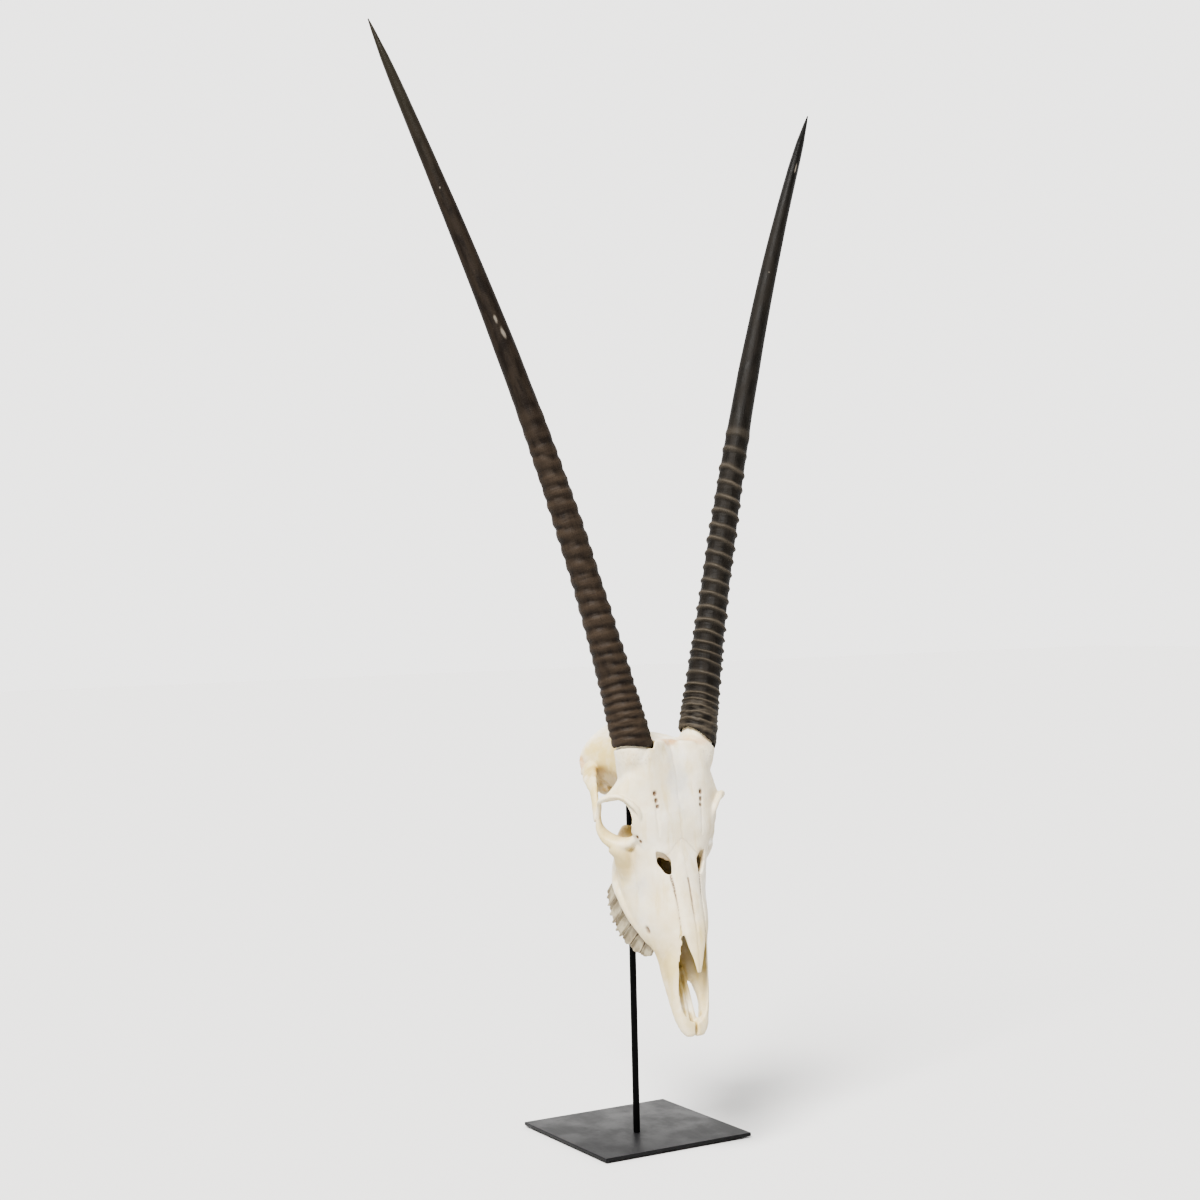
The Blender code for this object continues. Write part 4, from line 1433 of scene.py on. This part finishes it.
        # Brown clefts: painted shade in slits, pits and the gap in front of the eye, and darker seams along
        # the grooves.
        cleft = self._masks(points, "cleft")
        for groove in self.grooves:
            cleft = np.maximum(cleft, groove.dark * groove.closeness(points, normals))
        # Brown in the pits of the porous bone: painted shade.
        rough = np.flatnonzero(self._masks(points, "porous") > 0.3)
        cleft[rough] = np.maximum(cleft[rough], 0.5 * Grain.pits(points[rough], 2.6, 21) ** 1.5)
        put_mask(mesh, "cleft", cleft)

    def build(self, row: ToothRow, finish: BoneFinish) -> bpy.types.Object:
        """Makes and dresses the skull.

        Args:
            row: The tooth row, for the channels of its teeth.
            finish: The bone's finish.

        Returns:
            The finished piece.
        """
        mass, hollows, seats = self._mass(), self._hollows(), self._seats(row)
        cut(mass, hollows)
        cut(mass, seats)
        hollowed = settled(mass, hollows, seats)
        draft = Draft()
        draft.bm.from_mesh(hollowed)
        self.nasals.draw(draft)
        for bar in (*self.thin_bars, *(horn.core() for horn in HORN_CURVES)):
            bar.draw(draft)
        whole = draft.finish("skull_draft")
        one_skin(whole, self.fine_voxel, self.fine_rounds)
        mesh = settled(whole)
        self._carve(mesh)
        carved = bpy.data.objects.new("skull_carved", mesh)
        bpy.context.scene.collection.objects.link(carved)
        lighter = carved.modifiers.new("fewer faces", "DECIMATE")
        lighter.ratio = min(1.0, self.most_faces / (2 * len(mesh.polygons)))
        mesh = settled(carved)
        self._store_masks(mesh)
        skull = bpy.data.objects.new("skull_bone", mesh)
        bpy.context.scene.collection.objects.link(skull)
        hand_over(skull, finish.material(), ("skull",), head_matrix())
        return skull


RIGHT_RIDGES: Row = (
    0.0098, 0.0195, 0.0292, 0.0389, 0.0494, 0.0605, 0.0723, 0.0847, 0.0979, 0.1119,
    0.1265, 0.1426, 0.1594, 0.177, 0.1953, 0.2139, 0.2339, 0.254, 0.2743, 0.292,
    0.3153, 0.3346, 0.3527, 0.375, 0.3918, 0.4157, 0.4398, 0.4696, 0.5039,
)
LEFT_RIDGES: Row = (
    0.02, 0.0285, 0.037, 0.0455, 0.0535, 0.0617, 0.0732, 0.0887, 0.1056, 0.1175, 0.1294,
    0.1435, 0.1579, 0.1756, 0.1956, 0.2136, 0.2332, 0.2523, 0.2709, 0.2904, 0.3129,
    0.3337, 0.356, 0.3773, 0.4072, 0.4311,
)
# Pale worn spots: place along the horn, turn round it, then half-length and half-width.
RIGHT_SCUFFS: Rows = ((0.7655, 4.1, 1.3, 1.1), (0.577, 4.3, 6.0, 2.0), (0.556, 4.5, 8.0, 2.6))
LEFT_SCUFFS: Rows = ((0.699, 4.3, 1.2, 0.9), (0.895, 4.7, 8.0, 0.8))


@dataclass
class HornSheath:
    """A horn's hollow keratin sheath, with its growth ridges, worn facets and smooth tip."""

    curve: HornCurve
    ridges: Row
    finish: HornFinish
    scuffs: Rows = ()
    radii: Rows = (
        (0.0, 23.5),
        (0.04, 22.5),
        (0.08, 20.6),
        (0.14, 18.6),
        (0.25, 17.0),
        (0.36, 15.6),
        (0.46, 14.0),
        (0.6, 12.2),
        (0.72, 10.4),
        (0.83, 8.6),
        (0.9, 6.9),
        (0.95, 4.9),
        (0.985, 2.3),
        (1.0, 0.7),
    )
    sections: int = 980
    sides: int = 96
    ridge_height: float = 1.7
    sharpness: float = 0.8
    ridge_base: float = 0.5
    wander: float = 0.005
    foot_loss: float = 0.4
    fine_lines: float = 0.45
    line_contrast: float = 0.45
    base_roughness: float = 0.55
    tilt: float = 0.004
    ragged: float = 1.2
    corner_lift: float = 2.5
    last_ridge: float = 0.52
    wall_foot: float = 19.9
    wall_top: tuple[float, float] = (0.141, 9.4)
    length: float = 900.0

    def _ridge(self, place: np.ndarray, turn: np.ndarray) -> np.ndarray:
        """Height of the growth ridges, from 0 in a groove to 1 on a crest."""
        around = np.stack([8 * np.cos(turn), 8 * np.sin(turn), 260 * place], axis=1)
        sway = self.tilt * np.sin(turn + 1.2 + 3 * place)
        sway += self.wander * Grain.layered(around, 11.0, 3, 41)
        marks = np.array([-0.012, -0.004, *self.ridges])
        order = np.interp(place + sway, marks, np.arange(len(marks)))
        part = order - np.round(order)
        crest = (0.5 + 0.5 * np.cos(2 * np.pi * part)) ** self.sharpness
        uneven = 0.8 + 0.4 * Grain.wave(around, 9.0, 47)
        ended = smooth_step(place, self.ridges[-1] + 0.014, self.ridges[-1] + 0.002)
        return crest * uneven * ended

    def _relief(self, place: np.ndarray, turn: np.ndarray) -> tuple[np.ndarray, np.ndarray]:
        """Outside relief in millimetres, and the ridge mask, at places and turns."""
        ridge = self._ridge(place, turn)
        fade = smooth_step(place, self.last_ridge, self.last_ridge - 0.2)
        near_foot = smooth_step(place, 0.085, 0.03)
        height = self.ridge_height * fade * (1 - self.foot_loss * near_foot)
        around = np.stack([18 * np.cos(turn), 18 * np.sin(turn), self.length * place], axis=1)
        fibre = Grain.layered(around * (1, 1, 0.06), 2.6, 3, 53)
        flakes = Grain.layered(around * (0.35, 0.35, 1.0), 3.0, 3, 57)
        lines = Grain.layered(around * (0.14, 0.14, 1.0), 3.6, 2, 59)
        relief = height * (ridge - self.ridge_base) + 0.12 * fibre * (0.5 + fade)
        relief += self.base_roughness * flakes * (0.25 + near_foot) * fade
        relief += self.fine_lines * lines * fade
        relief += 0.5 * Grain.layered(around, 60.0, 2, 61)
        mask = ridge + self.line_contrast * lines + 0.6 * self.base_roughness * near_foot * (0.4 + flakes)
        return relief, np.clip(mask, 0, 1) * fade

    def build(self) -> bpy.types.Object:
        """Makes and dresses the sheath.

        Returns:
            The finished piece.
        """
        turns = 2 * np.pi * np.arange(self.sides) / self.sides
        first_radius = self.radii[0][1]
        round_foot = np.stack([20 * np.cos(turns), 20 * np.sin(turns), 0 * turns], axis=1)
        ragged = self.ragged * (1 + Grain.layered(round_foot, 8.0, 3, 67))
        lift = self.corner_lift * (0.5 - 0.5 * np.cos(turns - math.radians(240))) ** 1.5
        foot = self.curve.foot - math.tan(self.curve.slant) * first_radius * np.cos(turns)
        start = (foot + 0.3 + ragged + lift) / self.length
        share = np.linspace(0, 1, self.sections) ** 1.28
        bare = np.array(self.radii)
        rings, masks = [], []
        wall_end, end_radius = self.wall_top
        for place in (wall_end, 0.5 * wall_end):
            inside = np.interp(place, (0, wall_end), (self.wall_foot, end_radius))
            rings.append((np.full(self.sides, place), inside))
            masks.append(np.zeros(self.sides))
        rings.append((start, self.wall_foot))
        masks.append(np.zeros(self.sides))
        for s in share:
            place = start + (1 - start) * s
            relief, ridge = self._relief(place, turns)
            radius = np.interp(place, bare[:, 0], bare[:, 1])
            ease = np.minimum(1, radius / 6) * min(1.0, 0.35 + 60 * s)
            rings.append((place, radius + relief * ease - 1.2 * math.exp(-900 * s)))
            masks.append(ridge)
        points = self._points(rings, turns)
        mesh = self._mesh(points, np.concatenate(masks), rings, turns)
        horn = bpy.data.objects.new("sheath_" + self.curve.side.word, mesh)
        bpy.context.scene.collection.objects.link(horn)
        node = "horn_" + self.curve.side.word
        hand_over(horn, self.finish.material(), (node,), head_matrix())
        return horn

    def _points(self, rings: SheathRings, turns: np.ndarray) -> np.ndarray:
        """Places of all rings' points in the skull's frame, in millimetres."""
        rows = []
        for places, radii in rings:
            middle = float(np.mean(places))
            across, back, _ = self.curve.directions(min(max(middle, 0.0), 0.995))
            centres = np.array([self.curve.at(place) for place in places])
            spread = np.outer(np.cos(turns), across) + np.outer(np.sin(turns), back)
            rows.append(centres + spread * np.broadcast_to(radii, turns.shape)[:, None])
        return np.concatenate(rows)

    def _mesh(
        self, points: np.ndarray, ridge: np.ndarray, rings: SheathRings, turns: np.ndarray
    ) -> bpy.types.Mesh:
        """The closed skin through all rings, with the finish's masks stored on it."""
        count, total = self.sides, len(rings)
        grid = np.arange(total * count).reshape(total, count)
        after = np.roll(grid, -1, axis=1)
        quads = np.stack([grid[:-1], after[:-1], after[1:], grid[1:]], axis=-1).reshape(-1, 4)
        faces = [tuple(int(k) for k in quad) for quad in quads]
        faces += [tuple(range(count))[::-1], tuple(int(k) for k in grid[-1])]
        mesh = bpy.data.meshes.new("sheath")
        mesh.from_pydata((points * MM).tolist(), [], faces)
        shape = bmesh.new()
        shape.from_mesh(mesh)
        bmesh.ops.recalc_face_normals(shape, faces=shape.faces)
        shape.to_mesh(mesh)
        shape.free()
        places = np.concatenate([np.broadcast_to(row[0], turns.shape) for row in rings])
        radii = np.concatenate([np.broadcast_to(row[1], turns.shape) for row in rings])
        every = np.tile(turns, total)
        fibre = np.stack([radii * np.cos(every), radii * np.sin(every), self.length * places], axis=1)
        put_places(mesh, "fibre", fibre)
        put_mask(mesh, "ridge", np.clip(ridge, 0, 1))
        put_mask(mesh, "tip", smooth_step(places, 0.72, 0.97))
        scuff = np.zeros(len(points))
        for place, turn, long, wide in self.scuffs:
            off = (every - turn + np.pi) % (2 * np.pi) - np.pi
            away = np.hypot((places - place) * self.length / long, off * radii / wide)
            away += 0.4 * Grain.layered(fibre, 7.0, 2, 71)
            scuff = np.maximum(scuff, 1 - smooth_step(away, 0.5, 1.1))
        put_mask(mesh, "scuff", scuff)
        return mesh


@dataclass
class CheekTeeth:
    """Six ribbed cheek teeth on each side, with two cusps to each of the larger ones."""

    row: ToothRow
    finish: ToothFinish
    outline: int = 64
    levels: int = 24
    contact: float = 0.4
    rib: float = 0.17
    cusp: float = 0.24
    squareness: float = 0.42

    def _outline(self, index: int) -> tuple[np.ndarray, np.ndarray, np.ndarray]:
        """Places along and across one tooth for each outline point, and how much of it is cheek side."""
        turn = 2 * np.pi * (np.arange(self.outline) + 0.5) / self.outline
        c, s = np.cos(turn), np.sin(turn)
        along = 0.5 + 0.5 * np.sign(c) * np.abs(c) ** self.squareness
        across = 0.5 + 0.5 * np.sign(s) * np.abs(s) ** self.squareness
        cheek = smooth_step(across, 0.6, 0.2)
        lobes = 2 if index > 2 else 1
        style = np.cos(2 * np.pi * along * lobes)
        rib = np.cos(4 * np.pi * along * lobes)
        across = across - cheek * self.rib * (0.7 * style + 0.6 * rib - 1.1)
        tongue = 1 - cheek
        across = across - tongue * 0.16 * (0.5 + 0.5 * np.cos(2 * np.pi * along * lobes))
        return along, across, cheek

    def _rings(self, index: int, side: Side) -> tuple[np.ndarray, np.ndarray]:
        """Rings of one tooth from its root over its rim to the middle of its worn face."""
        start = sum(self.row.lengths[:index]) + self.contact / 2
        length = self.row.lengths[index] - self.contact
        width = self.row.widths[index]
        lobes = 2 if index > 2 else 1
        along, across, cheek = self._outline(index)
        peaks = 0.5 - 0.5 * np.cos(2 * np.pi * along * lobes)
        rim = 1.0 + self.cusp * (peaks - 0.95) * (0.45 + 0.55 * cheek)
        steps = [(depth, 1.0) for depth in np.linspace(self.row.root, 0.0, 5)]
        steps += [(depth, 1.0) for depth in np.linspace(0.05, 1.0, self.levels)]
        steps += [(1.0, shrink) for shrink in (0.93, 0.84, 0.72, 0.6, 0.46, 0.32, 0.2, 0.1)]
        rings, shade_and_stain = [], []
        for number, (depth, shrink) in enumerate(steps):
            waist = 1.0 - 0.07 * math.exp(-((depth / 0.16) ** 2)) if depth > -0.01 else 0.93
            level = depth * np.where(depth > 0, rim, 1.0)
            if shrink < 1:
                dip = 0.05 * math.cos(11 * shrink) + 0.10 * (1 - shrink)
                level = 1 + (rim - 1) * shrink - dip
            spread = shrink * waist
            lift = 0.25 * Grain.wave(
                np.stack([along * length + 40 * index, across * width, level * 16], axis=1), 2.4, 83
            )
            ring = []
            for a, w, d, extra in zip(along, across, level, lift):
                gum, root, inward = self.row.axes(start + length * (0.5 + (a - 0.5) * spread))
                across_by = (0.5 + (w - 0.5) * spread) * width + extra * shrink
                ring.append(gum + root * d + inward * across_by)
            rings.append(np.array(ring) * (side.value, 1, 1))
            # Painted shade at the ends of each tooth, in the valley between its lobes and at the gum line;
            # the worn chewing face is darker of its own.
            seam = np.exp(-((np.minimum(along, 1 - along) / 0.05) ** 2))
            valley = np.exp(-((np.abs(along - 0.5) / 0.05) ** 2)) if lobes == 2 else 0 * along
            neck = math.exp(-((depth - 0.05) / 0.09) ** 2)
            worn = 1.0 if 0.25 < shrink < 0.8 else 0.0
            shade_and_stain.append(np.clip(0.6 * seam + 0.6 * valley + 0.5 * neck + 0.7 * worn, 0, 1))
        return np.array(rings), np.array(shade_and_stain)

    def _tooth(self, index: int, side: Side, material: bpy.types.Material) -> bpy.types.Object:
        """Makes and dresses one tooth."""
        rings, shade_and_stain = self._rings(index, side)
        draft = Draft()
        draft.skin(rings)
        tooth = draft.finish("cheek_tooth_%s_%d" % (side.word, index + 1))
        put_mask(tooth.data, "cleft", shade_and_stain.ravel())
        node = "tooth_%s_%d" % (side.word, index + 1)
        hand_over(tooth, material, (node,), head_matrix())
        return tooth

    def build(self) -> None:
        """Makes and dresses all teeth of both sides."""
        material = self.finish.material()
        for side in Side:
            for index in range(len(self.row.lengths)):
                self._tooth(index, side, material)


@dataclass
class Stand:
    """A square plate on four small feet, with an upright rod."""

    plate_finish: BlackSteelFinish
    rod_finish: BlackSteelFinish
    rubber_finish: RubberFinish
    plate_edge: float = 0.0006
    rod_radius: float = 0.004
    rod_edge: float = 0.0003
    pad_edge: float = 0.0005

    @staticmethod
    def _turned(name: str, middle: Vector, profile: Rows, sides: int = 72) -> bpy.types.Object:
        """A solid of revolution round an upright line.

        Args:
            name: The object's name.
            middle: A point on the line, in metres.
            profile: Pairs of radius and height, in metres, from the bottom up.
            sides: Number of points round it.

        Returns:
            The new object.
        """
        turns = 2 * np.pi * np.arange(sides) / sides
        rings = []
        for radius, height in profile:
            ring = np.stack([np.cos(turns) * radius, np.sin(turns) * radius, 0 * turns], axis=1)
            rings.append((ring + (middle.x, middle.y, height)) / MM)
        draft = Draft()
        draft.skin(rings)
        return draft.finish(name)

    def _plate(self) -> None:
        """The plate, its edges rounded by a fraction of a millimetre."""
        low, high = (Vector(corner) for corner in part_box("base_plate"))
        draft = Draft()
        middle = Matrix.Translation((low + high) / 2)
        size = Matrix.Diagonal((*(high - low), 1.0))
        bmesh.ops.create_cube(draft.bm, size=1.0, matrix=middle @ size)
        bmesh.ops.bevel(
            draft.bm,
            geom=draft.bm.edges[:],
            offset=self.plate_edge,
            segments=4,
            profile=0.5,
            affect="EDGES",
        )
        plate = draft.finish("stand_plate")
        hand_over(plate, self.plate_finish.material(), ("base_plate",))
        plate.data.set_sharp_from_angle(angle=math.radians(35))

    def _rod(self) -> None:
        """The rod, with a small chamfer at each end."""
        low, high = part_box("rod")
        centre = plate_centre()
        middle = Vector((centre.x + ROD_AT[0], centre.y + ROD_AT[1], 0))
        edge = self.rod_edge
        profile = (
            (self.rod_radius - edge, low[2]),
            (self.rod_radius, low[2] + edge),
            (self.rod_radius, high[2] - edge),
            (self.rod_radius - edge, high[2]),
        )
        rod = self._turned("stand_rod", middle, profile)
        hand_over(rod, self.rod_finish.material(), ("rod",))
        rod.data.set_sharp_from_angle(angle=math.radians(30))

    def _pads(self) -> None:
        """The four feet, rounded at their edges."""
        material = self.rubber_finish.material()
        for number in range(1, 5):
            low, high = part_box("pad_%d" % number)
            middle = Vector(((low[0] + high[0]) / 2, (low[1] + high[1]) / 2, 0))
            radius = (high[0] - low[0]) / 2
            profile = []
            for quarter in np.linspace(0, math.pi / 2, 4):
                inset = self.pad_edge * (1 - math.sin(quarter))
                profile.append((radius - inset, low[2] + self.pad_edge * (1 - math.cos(quarter))))
            for quarter in np.linspace(0, math.pi / 2, 4):
                inset = self.pad_edge * (1 - math.cos(quarter))
                profile.append((radius - inset, high[2] - self.pad_edge * (1 - math.sin(quarter))))
            pad = self._turned("stand_pad_%d" % number, middle, tuple(profile), 48)
            hand_over(pad, material, ("pad_%d" % number,))

    def build(self) -> None:
        """Makes and dresses the whole stand."""
        self._plate()
        self._rod()
        self._pads()


@dataclass
class Studio:
    """Plain pale floor, soft light and the camera."""

    floor_size: float = 30.0
    yaw: float = 29.9
    roll: float = -1.34
    focal_pixels: float = 2026.0
    image_pixels: float = 1200.0
    distance: float = 2.4532
    height: float = 0.6454
    offset: float = 0.0288
    sky: Colour = (0.905, 0.895, 0.88)
    dim_sky: float = 0.72
    bright_sky: float = 2.25
    sun_way: Row = (0.50, 0.36, -0.79)
    sun_power: float = 9.0
    sun_spread: float = 22.0
    look: str = "AgX - Medium High Contrast"

    def _floor(self) -> None:
        """A wide flat floor under the object."""
        draft = Draft()
        bmesh.ops.create_grid(draft.bm, x_segments=8, y_segments=8, size=self.floor_size / 2)
        floor = draft.finish("floor")
        floor.data.materials.append(FloorFinish().material())

    def _lamp(self) -> None:
        """One broad soft light from above the front."""
        lamp = bpy.data.lights.new("soft lamp", "SUN")
        lamp.energy = self.sun_power
        lamp.angle = math.radians(self.sun_spread)
        lamp.color = (1.0, 0.98, 0.95)
        thing = bpy.data.objects.new("soft lamp", lamp)
        thing.rotation_euler = Vector(self.sun_way).to_track_quat("-Z", "Y").to_euler()
        bpy.context.scene.collection.objects.link(thing)

    def _sky(self) -> None:
        """Plain pale surroundings, brighter behind the object than in front of it."""
        world = bpy.data.worlds.new("soft light")
        world.use_nodes = True
        tree = world.node_tree
        yaw = math.radians(self.yaw)
        way = tree.nodes.new("ShaderNodeTexCoord").outputs["Generated"]
        facing = tree.nodes.new("ShaderNodeVectorMath")
        facing.operation = "DOT_PRODUCT"
        facing.inputs[1].default_value = (math.sin(yaw), math.cos(yaw), 0.0)
        tree.links.new(way, facing.inputs[0])
        ramp = tree.nodes.new("ShaderNodeMapRange")
        ramp.interpolation_type = "SMOOTHSTEP"
        numbers = (0.0, 0.8, self.dim_sky, self.bright_sky)
        for name, number in zip(("From Min", "From Max", "To Min", "To Max"), numbers):
            ramp.inputs[name].default_value = number
        tree.links.new(facing.outputs["Value"], ramp.inputs["Value"])
        background = tree.nodes["Background"]
        background.inputs["Color"].default_value = (*self.sky, 1.0)
        tree.links.new(ramp.outputs["Result"], background.inputs["Strength"])
        bpy.context.scene.world = world

    def _camera(self) -> None:
        """The camera at the photograph's viewing angle."""
        yaw = math.radians(self.yaw)
        ahead = Vector((math.sin(yaw), math.cos(yaw), 0))
        right = Vector((math.cos(yaw), -math.sin(yaw), 0))
        up = Vector((0, 0, 1))
        place = plate_centre() - ahead * self.distance - right * self.offset + up * self.height
        bpy.context.scene.view_settings.look = self.look
        lens = bpy.data.cameras.new("camera")
        lens.sensor_width = 36.0
        lens.lens = self.focal_pixels / self.image_pixels * lens.sensor_width
        camera = bpy.data.objects.new("camera", lens)
        turned = Matrix((right, up, -ahead)).transposed().to_4x4()
        roll = Matrix.Rotation(math.radians(self.roll), 4, "Z")
        camera.matrix_world = Matrix.Translation(place) @ turned @ roll
        bpy.context.scene.collection.objects.link(camera)
        bpy.context.scene.camera = camera

    def build(self) -> None:
        """Sets up floor, light and camera."""
        self._floor()
        self._sky()
        self._lamp()
        self._camera()


def main() -> None:
    """Builds the dressed model and its setting."""
    logging.basicConfig(level=logging.INFO, format="%(message)s", stream=sys.stdout)
    Studio().build()
    row = ToothRow()
    SkullBone().build(row, BoneFinish())
    right, left = HORN_CURVES
    warm = HornFinish(
        name="brown horn",
        deep=(0.0055, 0.003, 0.0015),
        body=(0.016, 0.0108, 0.0068),
        ridge=(0.034, 0.0235, 0.0155),
        tip=(0.018, 0.0155, 0.0105),
    )
    grey = HornFinish(
        name="grey horn",
        deep=(0.0035, 0.0025, 0.0015),
        body=(0.0088, 0.0068, 0.0048),
        ridge=(0.058, 0.048, 0.036),
        tip=(0.0024, 0.0022, 0.0018),
    )
    HornSheath(right, RIGHT_RIDGES, warm, RIGHT_SCUFFS).build()
    HornSheath(
        left,
        LEFT_RIDGES,
        grey,
        LEFT_SCUFFS,
        ridge_height=2.5,
        sharpness=5.0,
        ridge_base=0.28,
        wander=0.0026,
        foot_loss=0.75,
        fine_lines=0.2,
        line_contrast=0.12,
        base_roughness=1.1,
        ragged=2.2,
        corner_lift=0.0,
    ).build()
    CheekTeeth(row, ToothFinish()).build()
    Stand(
        BlackSteelFinish("plate coat", (0.008, 0.008, 0.0088), (0.015, 0.015, 0.0158), 0.42, 0.00004, 0.12),
        BlackSteelFinish("rod coat", (0.0012, 0.0012, 0.0013), (0.003, 0.003, 0.003), 0.45, 0.00002, 0.06),
        RubberFinish(),
    ).build()


if __name__ == "__main__":
    main()
